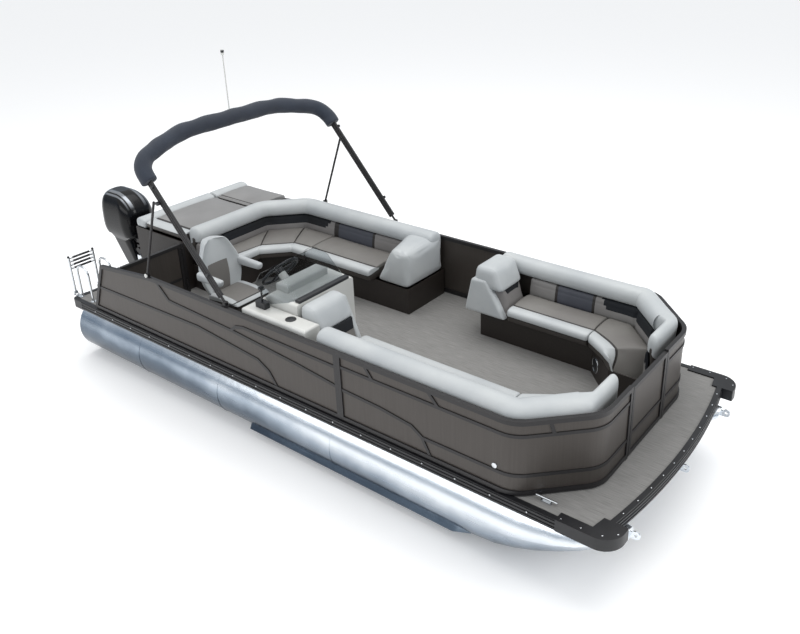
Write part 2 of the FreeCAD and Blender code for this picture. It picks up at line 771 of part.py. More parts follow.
# Helm: moulded console with an outer shelf, windscreen, wheel and throttle
console_aft = 2880.0
console_length = 550.0
console_front = console_aft + console_length
console_inner = -300.0
console_outer = -1225.0
console_kick = 100.0
shelf_inner = -1040.0
shelf_setback = 20.0
shelf_reach = 270.0
shelf_aft = console_aft + shelf_setback
shelf_front = console_front + shelf_reach
shelf_height = 720.0
dash_height = 830.0
dash_aft_height = 690.0
dash_run = 200.0
dash_fall = 20.0
hood_ahead = 180.0
hood_length = 150.0
hood_inset = 110.0
hood_rise = 70.0
console_round = 24.0
cup_setback = 260.0
cup_radius = 43.0
cup_depth = 75.0
rest_height = 820.0
rest_depth = 370.0
rest_top_width = 170.0
screen_wall = 6.0
screen_setback = 50.0
screen_inset = 60.0
screen_over = 110.0
screen_knee = 60.0
screen_bend = 90.0
screen_rise = 250.0
screen_rake = 285.0
screen_corner = 70.0
screen_fall = 40.0


def console_hump():
    """The moulded console under the dash, sloping up from the wheel and down to the bow."""
    hump = slab([over_deck(console_aft + console_kick, 0, 0),
                 over_deck(console_aft, 0, dash_aft_height),
                 over_deck(console_aft + dash_run, 0, dash_height),
                 over_deck(console_front, 0, dash_height - dash_fall),
                 over_deck(console_front, 0, 0)], shelf_inner, console_inner)
    edges = [e for e in hump.Edges if e.BoundBox.ZMin > deck_top + dash_aft_height - overrun
             and e.BoundBox.ZLength + e.BoundBox.XLength > overrun]
    hump = hump.makeFillet(console_round, edges)
    aft = console_aft + hood_ahead
    low = dash_height - console_round
    hood = box(over_deck(aft, shelf_inner + hood_inset, low),
               over_deck(aft + hood_length, console_inner - hood_inset, dash_height + hood_rise))
    return fuse([hump, softened(hood, console_round, deck_top + dash_height,
                                deck_top + dash_height + hood_rise + overrun)])


def console_shelf():
    """The lower shelf outboard of the dash, with its cup holder."""
    shelf = box(over_deck(shelf_aft, console_outer, 0), over_deck(console_front, shelf_inner,
                                                                  shelf_height))
    tail = box(over_deck(console_front - overrun, console_outer, base_height + cushion_gap),
               over_deck(shelf_front, shelf_inner, shelf_height))
    shelf = fuse([shelf, tail])
    shelf = softened(shelf, console_round, deck_top + shelf_height - overrun,
                     deck_top + shelf_height + overrun)
    cup = Part.makeCylinder(cup_radius, cup_depth + overrun,
                            over_deck(shelf_front - cup_setback, (console_outer + shelf_inner) / 2,
                                      shelf_height - cup_depth), UP)
    return shelf.cut(cup)


def windscreen():
    """A tinted screen across the console's front, raked aft, one wing bent over the shelf."""
    front = console_front - screen_setback
    outer = shelf_inner - screen_over
    inner = console_inner - screen_inset
    path = [at(front - screen_over - screen_knee, outer), at(front, shelf_inner + screen_knee),
            at(front, inner)]
    foot = deck_top + dash_height - dash_fall
    top = deck_top + dash_height + screen_rise
    sheet = band(path, screen_bend, screen_wall, foot, foot, 0.0, V(-screen_rake, 0, top - foot))
    x = at(front - screen_rake * 2).x
    face = [V(x, inner, foot), V(x, inner, top - screen_corner), V(x, inner - screen_corner, top),
            V(x, shelf_inner + screen_corner, top), V(x, outer + screen_corner, top - screen_fall),
            V(x, outer, top - screen_fall - screen_corner), V(x, outer, foot)]
    return sheet.common(outline(face, FORE * (screen_rake * 3)))


wheel_radius = 190.0
wheel_rim = 15.0
wheel_ahead = 15.0
wheel_station = console_aft + wheel_ahead
wheel_y = -720.0
wheel_height = 885.0
wheel_tilt_angle = 42.0
spoke_count = 3
spoke_radius = 9.0
hub_radius = 40.0
hub_length = 50.0
column_length = 200.0


def helm_wheel():
    """The steering wheel, and the fixed column it turns on."""
    tilt = math.radians(wheel_tilt_angle)
    spin = V(-math.cos(tilt), 0, math.sin(tilt))
    centre = over_deck(wheel_station, wheel_y, wheel_height)
    parts = [Part.makeTorus(wheel_radius, wheel_rim, centre, spin),
             cross_rod(centre, hub_length, hub_radius, spin)]
    turn = spin.cross(PORT)
    for step in range(spoke_count):
        angle = math.radians(90 + 360 / spoke_count * step)
        ray = PORT * math.cos(angle) + turn * math.sin(angle)
        parts.append(rod(centre, centre + ray * wheel_radius, spoke_radius))
    face = centre - spin * (hub_length / 2 + seating_gap)
    return fuse(parts), Part.makeCylinder(hub_radius, column_length, face, spin * -1)


throttle_setback = 180.0
throttle_station = console_aft + throttle_setback
throttle_width = 70.0
throttle_y = shelf_inner - throttle_width
throttle_length = 130.0
throttle_height = 60.0
lever_height = 130.0
lever_radius = 9.0
knob_radius = 19.0
knob_length = 44.0


def throttle():
    """The control box on the shelf, with its lever and grip."""
    corner = V(throttle_length / 2, throttle_width / 2, 0)
    foot = over_deck(throttle_station, throttle_y, shelf_height)
    body = softened(box(foot - corner, foot + corner + UP * throttle_height), console_round / 2)
    top = foot + UP * (throttle_height + lever_height)
    return fuse([body, rod(foot, top, lever_radius), cross_rod(top, knob_length, knob_radius)])


def helm():
    hump = console_hump()
    wheel, column = helm_wheel()
    return {"console": fuse([hump, column]), "console_shelf": console_shelf(),
            "windscreen": windscreen().cut(hump),
            "helm_wheel": wheel, "throttle": throttle()}


# Helm chair: pedestal, pan, seat, wrapped back and two arms
chair_clearance = 610.0
chair_station = console_aft - chair_clearance
chair_side = 25.0
chair_y = wheel_y - chair_side
chair_seat_height = 500.0
chair_width = 560.0
chair_depth = 460.0
chair_back_top = 1010.0
chair_back_depth = 110.0
chair_back_lean = 60.0
chair_back_shares = [(0.0, 0.72, 1.0), (0.3, 0.9, 1.0), (0.55, 1.0, 0.95), (0.8, 0.78, 0.85),
                     (1.0, 0.42, 0.6)]
chair_corner_share = 0.8
pedestal_radius = 45.0
pedestal_plate = 160.0
pedestal_top = 380.0
plate_thickness = 10.0
pan_size = 360.0
pan_thickness = 20.0
arm_width = 55.0
arm_height = 50.0
arm_level = 690.0
arm_gap = 12.0
arm_root = 70.0
arm_reach = 420.0


def chair():
    foot = over_deck(chair_station, chair_y, 0)
    plate = Part.makeCylinder(pedestal_plate, plate_thickness, foot, UP)
    post = Part.makeCylinder(pedestal_radius, pedestal_top, foot, UP)
    pan_low = pedestal_top + seating_gap
    seat_low = pan_low + pan_thickness + seating_gap
    corner = V(pan_size / 2, pan_size / 2, 0)
    pan = box(foot - corner + UP * pan_low, foot + corner + UP * (pan_low + pan_thickness))
    inner_width = chair_width / 2 - arm_width - arm_gap
    corner = V(chair_depth / 2, inner_width, 0)
    seat = softened(box(foot - corner + UP * seat_low, foot + corner + UP * chair_seat_height),
                    cushion_round)
    rings = []
    for rise, wide, deep in chair_back_shares:
        height = seat_low + (chair_back_top - seat_low) * rise
        middle = foot + V(-chair_depth / 2 - chair_back_depth / 2 - seating_gap
                          - chair_back_lean * rise, 0, height)
        rings.append(ring(middle, chair_back_depth / 2 * deep, inner_width * wide,
                          chair_corner_share))
    back = Part.makeLoft(rings, True)
    arms = []
    for side in (-1, 1):
        y = side * (inner_width + arm_gap + arm_width / 2)
        rear = foot + V(-chair_depth / 2 - arm_root, y, arm_level)
        rest = box(rear - V(0, arm_width / 2, 0), rear + V(arm_reach, arm_width / 2, arm_height))
        drop = box(rear - V(0, arm_width / 2, arm_level - seat_low - pan_thickness),
                   rear + V(arm_root, arm_width / 2, overrun))
        tie = box(V(rear.x, foot.y, foot.z + arm_level),
                  V(rear.x + arm_root / 2, rear.y, foot.z + arm_level + arm_height)) if side > 0 \
            else box(V(rear.x, rear.y, foot.z + arm_level),
                     V(rear.x + arm_root / 2, foot.y, foot.z + arm_level + arm_height))
        arms.append(fuse([softened(rest, arm_width / 3), drop, tie]))
    back = fuse([back] + arms)
    return {"chair_pedestal": fuse([plate, post]), "chair_pan": pan,
            "chair_cushions": Part.makeCompound([seat, back.cut(seat)])}


# Bimini in its raised, booted position, with its two aft struts
bimini_foot = 2690.0
bimini_leg_y = 1238.0
pivot_rise = 30.0
bimini_lean_angle = 41.0
bimini_reach = 1765.0
shoulder_drop = 215.0
knee_drop = 30.0
knee_share = 0.52
bimini_bend = 230.0
knee_bend = 1500.0
bow_tube = 12.5
bow_pitch = 30.0
outer_bow_start = 70.0
tie_reaches = (120.0, 700.0, 1150.0)
tie_radius = 8.0
tie_over = 8.0
boot_start = 1330.0
boot_radius = 85.0
light_height = 560.0
light_radius = 6.0
lamp_height = 50.0
lamp_radius = 16.0
strut_setback = 1130.0
strut_foot = bimini_foot - strut_setback
strut_y = 1272.0
strut_reach_share = 0.505
strut_lean_angle = 21.0
strut_radius = 12.0
pivot_pin = 6.25
pivot_play = 0.05
barrel_radius = 14.0
barrel_length = 26.0
fork_wall = 6.0
fork_gap = 1.0
fork_top = 15.0
foot_length = 70.0
foot_width = 36.0
foot_plate = 6.0
pin_over = 2.0


def pivot_foot(pivot):
    """A plate on the fence's top rail with two cheeks and a pin through them."""
    low = pivot - UP * pivot_rise
    plate = box(low - V(foot_length / 2, foot_width / 2, 0),
                low + V(foot_length / 2, foot_width / 2, foot_plate))
    parts = [plate]
    inner = barrel_length / 2 + fork_gap
    for side in (-1, 1):
        ends = sorted((side * inner, side * (inner + fork_wall)))
        parts.append(box(low + V(-fork_top, ends[0], 0),
                         V(pivot.x + fork_top, pivot.y + ends[1], pivot.z + fork_top)))
    parts.append(cross_rod(pivot, 2 * (inner + fork_wall + pin_over), pivot_pin))
    return fuse(parts)


def pivot_bore(pivot):
    return cross_rod(pivot, barrel_length * 2, pivot_pin + pivot_play)


def bimini():
    pivot_z = deck_top + fence_height + pivot_rise
    lean = math.radians(bimini_lean_angle)
    rise = V(-math.sin(lean), 0, math.cos(lean))
    beside = V(math.cos(lean), 0, math.sin(lean))

    def path(start, shift):
        base = at(bimini_foot, bimini_leg_y, pivot_z) + beside * shift
        side = [base + rise * start, base + rise * (bimini_reach - shoulder_drop),
                base + rise * (bimini_reach - knee_drop) - PORT * (bimini_leg_y * (1 - knee_share))]
        return side + [across(p) for p in reversed(side)]

    bends = [bimini_bend, knee_bend, knee_bend, bimini_bend]
    parts = [pipe(path(outer_bow_start if count else 0.0, count * bow_pitch), bends, bow_tube)
             for count in (-1, 0, 1)]
    pivots = [at(bimini_foot, side * bimini_leg_y, pivot_z) for side in (-1, 1)]
    reach = beside * (bow_pitch + tie_over)
    for pivot in pivots:
        for distance in tie_reaches:
            middle = pivot + rise * distance
            parts.append(rod(middle - reach, middle + reach, tie_radius))
        parts.append(cross_rod(pivot, barrel_length, barrel_radius))
    frame = cut_all(fuse(parts), [pivot_bore(p) for p in pivots])
    boot = pipe(path(boot_start, 0.0), bends, boot_radius)
    crown = at(bimini_foot, 0, pivot_z) + rise * (bimini_reach - knee_drop)
    tip = crown + UP * (boot_radius - overrun)
    light = fuse([rod(tip, tip + UP * light_height, light_radius),
                  rod(tip + UP * light_height, tip + UP * (light_height + lamp_height),
                      lamp_radius)])
    pieces = {"bimini_frame": frame, "bimini_boot": boot.cut(frame), "light_pole": light.cut(boot)}
    feet = [pivot_foot(p) for p in pivots]
    angle = math.radians(strut_lean_angle)
    ray = V(math.sin(angle), 0, math.cos(angle))
    for name, side in (("strut_starboard", -1), ("strut_port", 1)):
        pivot = over_deck(strut_foot, side * strut_y, fence_height + pivot_rise)
        strut = fuse([rod(pivot, pivot + ray * (bimini_reach * strut_reach_share), strut_radius),
                      cross_rod(pivot, barrel_length, barrel_radius)])
        pieces[name] = strut.cut(pivot_bore(pivot))
        feet.append(pivot_foot(pivot))
    pieces["bimini_feet"] = Part.makeCompound(feet)
    return pieces


# Boarding ladder, folded up on the starboard stern corner between two handrails
ladder_station = -45.0
ladder_y = -1060.0
ladder_width = 300.0
ladder_height = 440.0
ladder_tube = 12.5
step_radius = 11.0
step_count = 4
step_pitch_share = 0.095
ladder_pivot = 30.0
ladder_pin = 6.25
ladder_plate = 6.0
ladder_plate_end = 90.0
ladder_foot_width = 52.0
ear_length = 32.0
ear_wall = 6.0
ear_gap = 1.0
hoop_in = 12.0
hoop_aft = 70.0
hoop_fore = 280.0
hoop_height = 400.0
hoop_bend = 90.0
hoop_tube = 12.5
hoop_flange = 32.0


def ladder():
    low = rail_rise
    parts = []
    mounts = []
    bores = []
    for side in (-1, 1):
        y = ladder_y + side * ladder_width / 2
        pivot = over_deck(ladder_station, y, ladder_pivot)
        parts.append(rod(pivot - UP * ladder_tube, pivot + UP * ladder_height, ladder_tube))
        bores.append(pivot_bore(pivot))
        half = ladder_foot_width / 2
        plate = box(over_deck(ladder_station - ear_length / 2, y - half, low),
                    over_deck(ladder_plate_end, y + half, low + ladder_plate))
        pad = box(over_deck(rail_lip, y - half, 0), over_deck(ladder_plate_end, y + half, low))
        inner = ladder_tube + ear_gap
        parts_here = [plate, pad]
        for cheek in (-1, 1):
            ends = sorted((y + cheek * inner, y + cheek * (inner + ear_wall)))
            parts_here.append(box(over_deck(ladder_station - ear_length / 2, ends[0], low),
                                  over_deck(ladder_station + ear_length / 2, ends[1],
                                            ladder_pivot + ear_length / 2)))
        slot = box(over_deck(ladder_station - ear_length, y - inner, 0),
                   over_deck(ladder_station + ear_length, y + inner, ladder_pivot * 2))
        pin = cross_rod(pivot, 2 * (inner + ear_wall + pin_over), ladder_pin)
        mounts.append(fuse([fuse(parts_here).cut(slot), pin]))
        hoop_y = y - side * hoop_in
        hoop = pipe([over_deck(hoop_aft, hoop_y, rail_rise), over_deck(hoop_aft, hoop_y, hoop_height),
                     over_deck(hoop_fore, hoop_y, hoop_height),
                     over_deck(hoop_fore, hoop_y, 0)], hoop_bend, hoop_tube)
        flange = Part.makeCylinder(hoop_flange, ladder_plate, over_deck(hoop_fore, hoop_y, 0), UP)
        mounts.append(fuse([hoop, flange]))
    for step in range(step_count):
        level = ladder_pivot + ladder_height * (1 - step_pitch_share * step) - step_radius * 2
        parts.append(cross_rod(over_deck(ladder_station, ladder_y, level), ladder_width,
                               step_radius))
    frame = cut_all(fuse(parts), bores)
    return {"ladder": frame, "ladder_feet": Part.makeCompound(mounts)}


# Outboard: pod and transom, clamp, swivel, leg, cowl and propeller
tilt_station = -330.0
tilt_height = 862.0
steer_back = 120.0
pod_width = 460.0
pod_floor = 120.0
pod_round = 60.0
transom_ahead = 70.0
transom_wall = 45.0
transom_below = 20.0
pod_beam = 50.0
knee_wall = 12.0
clamp_y = 150.0
clamp_wall = 30.0
clamp_drop = 320.0
clamp_boss = 35.0
tilt_tube = 16.0
fit_play = 0.05
swivel_half = 110.0
swivel_drop = 280.0
swivel_top = 40.0
swivel_fore = -30.0
swivel_aft = -90.0
swivel_boss = 45.0
kingpin = 20.0
yoke_half = 70.0
yoke_height = 50.0
plate_below = 520.0
plate_half = 100.0
plate_wall = 14.0
plate_corner_share = 0.6
prop_below = 710.0
skeg_below = 830.0
skeg_wall = 10.0
gear_radius = 54.0
gear_fore = -70.0
gear_aft = -450.0
gear_nose = 120.0
gear_nose_shares = [(0.0, 0.15), (0.12, 0.42), (0.4, 0.75), (0.7, 0.94), (1.0, 1.0)]
hub_front_gap = 0.3
prop_hub = 50.0
prop_hub_length = 130.0
prop_radius = 168.0
blade_count = 3
blade_pitch = 420.0
blade_shares = [(0.2, 0.5, 0.075), (0.45, 0.72, 0.06), (0.75, 0.74, 0.04), (1.0, 0.3, 0.025)]
cowl_length = 650.0
cowl_width = 450.0
cowl_middle = -345.0
cowl_tall = 540.0
cowl_wall = 6.0
cowl_shares = [(0.0, 0.0, 0.93, 0.88), (0.25, 0.0, 1.0, 1.0), (0.55, -0.01, 0.97, 0.98),
               (0.8, -0.05, 0.84, 0.84), (0.93, -0.09, 0.62, 0.64), (1.0, -0.12, 0.34, 0.38)]
cowl_corner_share = 0.75
chap_rise = 134.0
chap_aft = -634.0
chap_fore = -44.0
chap_width = 368.0
chap_aft_shares = (1.0, 0.92, 0.83, 0.69, 0.69)
chap_fore_shares = (0.0, 0.245, 0.245, 0.245, 0.175)
chap_width_shares = (1.0, 0.82, 0.61, 0.36, 0.22)
chap_level_shares = (0.0, 0.115, 0.39, 0.74, 1.0)
gear_strut_length = 230.0
gear_strut_width = 52.0
engine_half_x = 190.0
engine_half_y = 135.0
engine_height = 380.0


def motor(x, y, z):
    """A point measured from the tilt axis."""
    return at(tilt_station + x, y, tilt_height + z)


def cowl_solid(inset):
    """The cowl's outer form, or its inner one when drawn in."""
    rings = []
    for rise, shift, long, wide in cowl_shares:
        level = chap_rise + seating_gap + (cowl_tall - inset) * rise
        middle = motor(cowl_middle + cowl_length * shift, 0, level)
        rings.append(ring(middle, cowl_length / 2 * long - inset, cowl_width / 2 * wide - inset,
                          cowl_corner_share))
    return Part.makeLoft(rings, True)


def motor_pod():
    """The pod under the deck with its transom, knees and the beams that hang it."""
    top = deck_top - rail_drop - seating_gap
    aft = tilt_station + transom_ahead
    low = at(aft + transom_wall, -pod_width / 2, pod_floor)
    body = box(low, at(centre_tube_aft - end_cap - seating_gap, pod_width / 2, top))
    keel_edges = [e for e in body.Edges if e.BoundBox.ZMax < pod_floor + overrun
                  and e.BoundBox.XLength > overrun]
    body = body.makeFillet(pod_round, keel_edges)
    transom = box(at(aft, -pod_width / 2, pod_floor + pod_round),
                  at(aft + transom_wall, pod_width / 2, tilt_height - transom_below))
    parts = [body, transom]
    for side in (-1, 1):
        ends = sorted((side * pod_width / 2, side * (pod_width / 2 - knee_wall)))
        reach = min(tilt_height - transom_below - top, -aft - transom_wall)
        parts.append(slab([at(aft + transom_wall, 0, top), at(aft + transom_wall + reach, 0, top),
                           at(aft + transom_wall, 0, top + reach)], *ends))
        ends = sorted((side * pod_beam, side * pod_beam * 2))
        parts.append(box(at(rail_lip, ends[0], top - overrun),
                         at(centre_tube_aft - overrun, ends[1], channel_bottom)))
    return fuse(parts)


def clamp():
    parts = [cross_rod(motor(0, 0, 0), 2 * clamp_y, tilt_tube)]
    for side in (-1, 1):
        y = side * clamp_y
        half = clamp_wall / 2
        parts.append(slab([motor(0, 0, clamp_boss), motor(transom_ahead, 0, tilt_tube),
                           motor(transom_ahead, 0, -clamp_drop), motor(swivel_fore + transom_ahead, 0,
                                                                       -clamp_drop),
                           motor(0, 0, -clamp_boss)], y - half, y + half))
        parts.append(cross_rod(motor(0, y, 0), clamp_wall, clamp_boss))
    return fuse(parts)


def swivel():
    """The swivel bracket: it tilts on the tube and carries the steering bore."""
    steer = motor(-steer_back, 0, 0)
    parts = [box(motor(swivel_aft, -swivel_half, -swivel_drop + swivel_top),
                 motor(swivel_fore, swivel_half, swivel_top)),
             box(motor(swivel_fore - overrun, -swivel_half, -swivel_top),
                 motor(0, swivel_half, swivel_top)),
             cross_rod(motor(0, 0, 0), 2 * swivel_half, swivel_top),
             Part.makeCylinder(swivel_boss, swivel_drop + swivel_top, steer - UP * swivel_drop, UP)]
    tube_bore = cross_rod(motor(0, 0, 0), 2 * clamp_y, tilt_tube + fit_play)
    pin_bore = Part.makeCylinder(kingpin + fit_play, swivel_drop + swivel_top + overrun * 2,
                                 steer - UP * (swivel_drop + overrun), UP)
    return cut_all(fuse(parts), [tube_bore, pin_bore])


def leg():
    """Kingpin, yokes, midsection, anti-ventilation plate, gearcase and skeg."""
    steer = motor(-steer_back, 0, 0)
    parts = [Part.makeCylinder(kingpin, swivel_drop + swivel_top + overrun * 2,
                               steer - UP * (swivel_drop + overrun), UP)]
    rear = chap_aft + (chap_fore - chap_aft) / 2
    top = swivel_top + seating_gap
    parts.append(box(motor(rear, -yoke_half, top),
                     motor(-steer_back / 2, yoke_half, top + yoke_height)))
    low = -swivel_drop - seating_gap
    parts.append(box(motor(rear, -yoke_half, low - yoke_height),
                     motor(-steer_back / 2, yoke_half, low)))
    rings = []
    reach = chap_fore - chap_aft
    for down, aft, fore, wide in zip(chap_level_shares, chap_aft_shares, chap_fore_shares,
                                     chap_width_shares):
        level = chap_rise - (chap_rise + plate_below) * down
        ends = (chap_fore - reach * aft, chap_fore - reach * fore)
        rings.append(ring(motor(sum(ends) / 2, 0, level), (ends[1] - ends[0]) / 2,
                          chap_width * wide / 2, cowl_corner_share))
    for upper, lower in zip(rings, rings[1:]):
        parts.append(Part.makeLoft([upper, lower], True, True))
    tail = gear_aft - prop_hub_length
    parts.append(softened(box(motor(tail, -plate_half, -plate_below - plate_wall / 2),
                              motor(gear_fore, plate_half, -plate_below + plate_wall / 2)),
                          plate_half * plate_corner_share))
    middle = sum(ends) / 2
    stub = [ring(motor(middle, 0, -z), gear_strut_length / 2, gear_strut_width / 2,
                 cowl_corner_share) for z in (plate_below, prop_below)]
    parts.append(Part.makeLoft(stub, True, True))
    profile = [motor(gear_fore, 0, -prop_below)]
    for along, size in gear_nose_shares:
        profile.append(motor(gear_fore - gear_nose * along, 0, gear_radius * size - prop_below))
    profile += [motor(gear_aft, 0, prop_hub - prop_below), motor(gear_aft, 0, -prop_below)]
    case = Part.Face(Part.makePolygon(profile + profile[:1])).revolve(profile[0], FORE, 360)
    parts.append(case)
    skeg_root = middle + gear_strut_length / 4
    parts.append(slab([motor(skeg_root, 0, -prop_below), motor(gear_aft + prop_hub, 0, -prop_below),
                       motor(gear_aft + prop_hub, 0, -skeg_below),
                       motor(skeg_root - gear_strut_length / 2, 0, -skeg_below)],
                      -skeg_wall / 2, skeg_wall / 2))
    return fuse(parts)


def propeller():
    """Three pitched blades on a hub; each blade is a loft of thin sections."""
    axis = motor(gear_aft - hub_front_gap, 0, -prop_below)
    middle = axis - FORE * (prop_hub_length / 2)
    parts = [Part.makeCylinder(prop_hub, prop_hub_length, axis, FORE * -1)]
    sections = []
    for reach, chord, thick in blade_shares:
        radius = prop_radius * reach
        slope = math.atan2(blade_pitch, 2 * math.pi * max(radius, prop_hub))
        along = V(math.sin(slope), math.cos(slope), 0) * (prop_radius * chord / 2)
        wall = V(-math.cos(slope), math.sin(slope), 0) * (prop_radius * thick / 2)
        centre = middle + UP * radius
        corners = [centre + along, centre + wall, centre - along, centre - wall]
        sections.append(Part.makePolygon(corners + corners[:1]))
    blade = Part.makeLoft(sections, True, True)
    for turn in range(blade_count):
        parts.append(blade.rotated(middle, FORE, 360 / blade_count * turn))
    return fuse(parts)


def outboard():
    block = box(motor(cowl_middle - engine_half_x, -engine_half_y, chap_rise + seating_gap),
                motor(cowl_middle + engine_half_x, engine_half_y, chap_rise + engine_height))
    shell = cowl_solid(0.0).cut(cowl_solid(cowl_wall))
    return {"motor_pod": motor_pod(), "outboard_clamp": clamp(), "outboard_swivel": swivel(),
            "outboard_leg": leg(), "propeller": propeller(), "outboard_cowl": shell,
            "outboard_engine": block}


# Mooring cleats at the four corners
cleat_length = 180.0
cleat_height = 30.0
cleat_radius = 8.0
cleat_base = 40.0
cleat_plate = 12.0
cleat_bow_station = 6060.0
cleat_bow_y = 1150.0
cleat_stern_station = 420.0
cleat_stern_y = 1190.0


def cleats():
    horns = []
    for station, y in ((cleat_bow_station, cleat_bow_y), (cleat_stern_station, cleat_stern_y)):
        for side in (-1, 1):
            foot = over_deck(station, side * y, 0)
            if station == cleat_stern_station and side > 0:
                continue
            corner = V(cleat_length / 4, cleat_base / 2, 0)
            stem = V(cleat_length / 6, cleat_radius, 0)
            middle = foot + UP * cleat_height
            horns.append(fuse([box(foot - corner, foot + corner + UP * cleat_plate),
                               box(foot - stem, foot + stem + UP * cleat_height),
                               cross_rod(middle, cleat_length, cleat_radius, FORE)]))
    return {"cleats": Part.makeCompound(horns)}


pieces = {}
for section in (tubes, deck_pieces, fences, gates, aft_lounge, sunpad, bow_lounges, helm, chair,
                bimini, ladder, outboard, cleats):
    pieces.update(section())

os.makedirs("parts", exist_ok=True)
for name, shape in pieces.items():
    if not shape.isValid():
        print("not valid:", name)
    shape.exportStep("parts/" + name + ".step")
print(len(pieces), "pieces")
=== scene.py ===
import bpy
import math
from mathutils import Matrix, Vector


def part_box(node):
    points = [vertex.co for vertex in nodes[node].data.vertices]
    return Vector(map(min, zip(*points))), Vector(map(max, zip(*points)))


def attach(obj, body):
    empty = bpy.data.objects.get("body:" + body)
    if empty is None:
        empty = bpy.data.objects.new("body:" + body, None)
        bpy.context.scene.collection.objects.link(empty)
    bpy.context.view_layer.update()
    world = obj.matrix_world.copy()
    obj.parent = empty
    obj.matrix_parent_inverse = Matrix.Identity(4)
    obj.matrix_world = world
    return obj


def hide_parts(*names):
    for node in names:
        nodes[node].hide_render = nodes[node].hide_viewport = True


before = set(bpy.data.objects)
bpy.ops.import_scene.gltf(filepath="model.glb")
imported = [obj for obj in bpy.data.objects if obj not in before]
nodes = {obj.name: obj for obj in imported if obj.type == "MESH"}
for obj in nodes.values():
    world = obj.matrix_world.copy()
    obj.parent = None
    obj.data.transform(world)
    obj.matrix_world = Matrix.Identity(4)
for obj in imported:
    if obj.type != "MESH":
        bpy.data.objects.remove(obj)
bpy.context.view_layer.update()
bpy.ops.object.select_all(action="DESELECT")

# Camera: from high off the starboard bow, looking down the deck to the port quarter.
# Its place, lens and small shift come from a fit of the boat's edges to the photograph.
yaw, pitch, roll = (math.radians(a) for a in (37.48, 24.84, -1.24))
camera = bpy.data.objects.new("camera", bpy.data.cameras.new("camera"))
bpy.context.scene.collection.objects.link(camera)
picture_width, focal_pixels = 800, 834.4
camera.data.sensor_width = 36.0
camera.data.lens = focal_pixels * camera.data.sensor_width / picture_width
camera.data.shift_x = -0.0423
camera.data.shift_y = -0.0607
camera.data.clip_end = 200
camera.matrix_world = (Matrix.Translation((5.056, -5.51, 4.9455))
                       @ Matrix.Rotation(yaw, 4, "Z")
                       @ Matrix.Rotation(math.pi / 2 - pitch, 4, "X")
                       @ Matrix.Rotation(roll, 4, "Z"))
bpy.context.scene.camera = camera


# Studio: a matt white floor far larger than the boat, under a pale sky that is a little
# bluer low down, with three broad soft lamps that leave long highlights along the tubes.
def linear(hexes):
    """A colour from its sRGB hex digits, as linear red, green, blue and full cover."""
    parts = [int(hexes[i:i + 2], 16) / 255 for i in (0, 2, 4)]
    return [c / 12.92 if c <= 0.04045 else ((c + 0.055) / 1.055) ** 2.4 for c in parts] + [1.0]


def add(tree, kind, links=(), stops=(), **settings):
    """Adds one node. Settings name its options or sockets, links give socket, source and
    output, and stops give a ramp its places from 0 to 1, each with sRGB hex digits."""
    made = tree.nodes.new(kind)
    for name, value in settings.items():
        if hasattr(made, name):
            setattr(made, name, value)
        else:
            made.inputs[name.replace("_", " ")].default_value = value
    for socket, source, output in links:
        tree.links.new(source.outputs[output], made.inputs[socket])
    while stops and len(made.color_ramp.elements) < len(stops):
        made.color_ramp.elements.new(0.5)
    for index, (share, hexes) in enumerate(stops):
        made.color_ramp.elements[index].position = share
        made.color_ramp.elements[index].color = linear(hexes)
    return made


def surface(name, **settings):
    """A new material, its node tree and its main shader; settings name the shader's sockets."""
    made = bpy.data.materials.new(name)
    made.use_nodes = True
    shader = made.node_tree.nodes["Principled BSDF"]
    for socket, value in settings.items():
        shader.inputs[socket.replace("_", " ")].default_value = value
    return made, made.node_tree, shader


bpy.ops.mesh.primitive_plane_add(size=240, location=(0, 0, -0.001))
floor = bpy.context.object
floor.name = "studio_floor"
matt_white = surface("matt_white_floor", Base_Color=linear("fbfbfb"), Roughness=0.95,
                     Emission_Color=linear("ffffff"), Emission_Strength=0.13)[0]
floor.data.materials.append(matt_white)
bpy.ops.object.select_all(action="DESELECT")

world = bpy.data.worlds.new("studio_sky")
world.use_nodes = True
bpy.context.scene.world = world
tree = world.node_tree
where = add(tree, "ShaderNodeTexCoord")
split = add(tree, "ShaderNodeSeparateXYZ", [("Vector", where, "Generated")])
sky = add(tree, "ShaderNodeValToRGB", [("Fac", split, "Z")],
          ((0.0, "dfe5eb"), (0.1, "97a4b3"), (0.3, "b9c3ce"), (0.5, "f4f6f8"), (1.0, "ffffff")))
tree.nodes["Background"].inputs["Strength"].default_value = 0.9
bpy.context.scene.view_settings.view_transform = "Standard"
tree.links.new(sky.outputs["Color"], tree.nodes["Background"].inputs["Color"])
for name, spot, size, power in (("lamp_overhead", (0, 1, 11), (14, 9), 760),
                                ("lamp_starboard", (-2, -10, 5), (12, 3), 240),
                                ("lamp_bow", (10, 2, 6), (4, 4), 220)):
    lamp = bpy.data.objects.new(name, bpy.data.lights.new(name, "AREA"))
    lamp.data.shape = "RECTANGLE"
    lamp.data.size, lamp.data.size_y = size
    lamp.data.energy = power
    lamp.location = spot
    lamp.rotation_euler = (-Vector(spot)).to_track_quat("-Z", "Y").to_euler()
    bpy.context.scene.collection.objects.link(lamp)


# Floats: rolled aluminium sheet, welded in rings, bright from the mill and never painted.
# The colour holds painted shade and a painted dark reflection low down, towards the stern and at
# the tips of the noses, and a painted highlight higher up, with soft clouds; the drawn sheet
# keeps fine marks along the hull.
def paint(material, *names):
    """Gives solids of the frame their finish."""
    for name in names:
        nodes[name].data.materials.clear()
        nodes[name].data.materials.append(material)


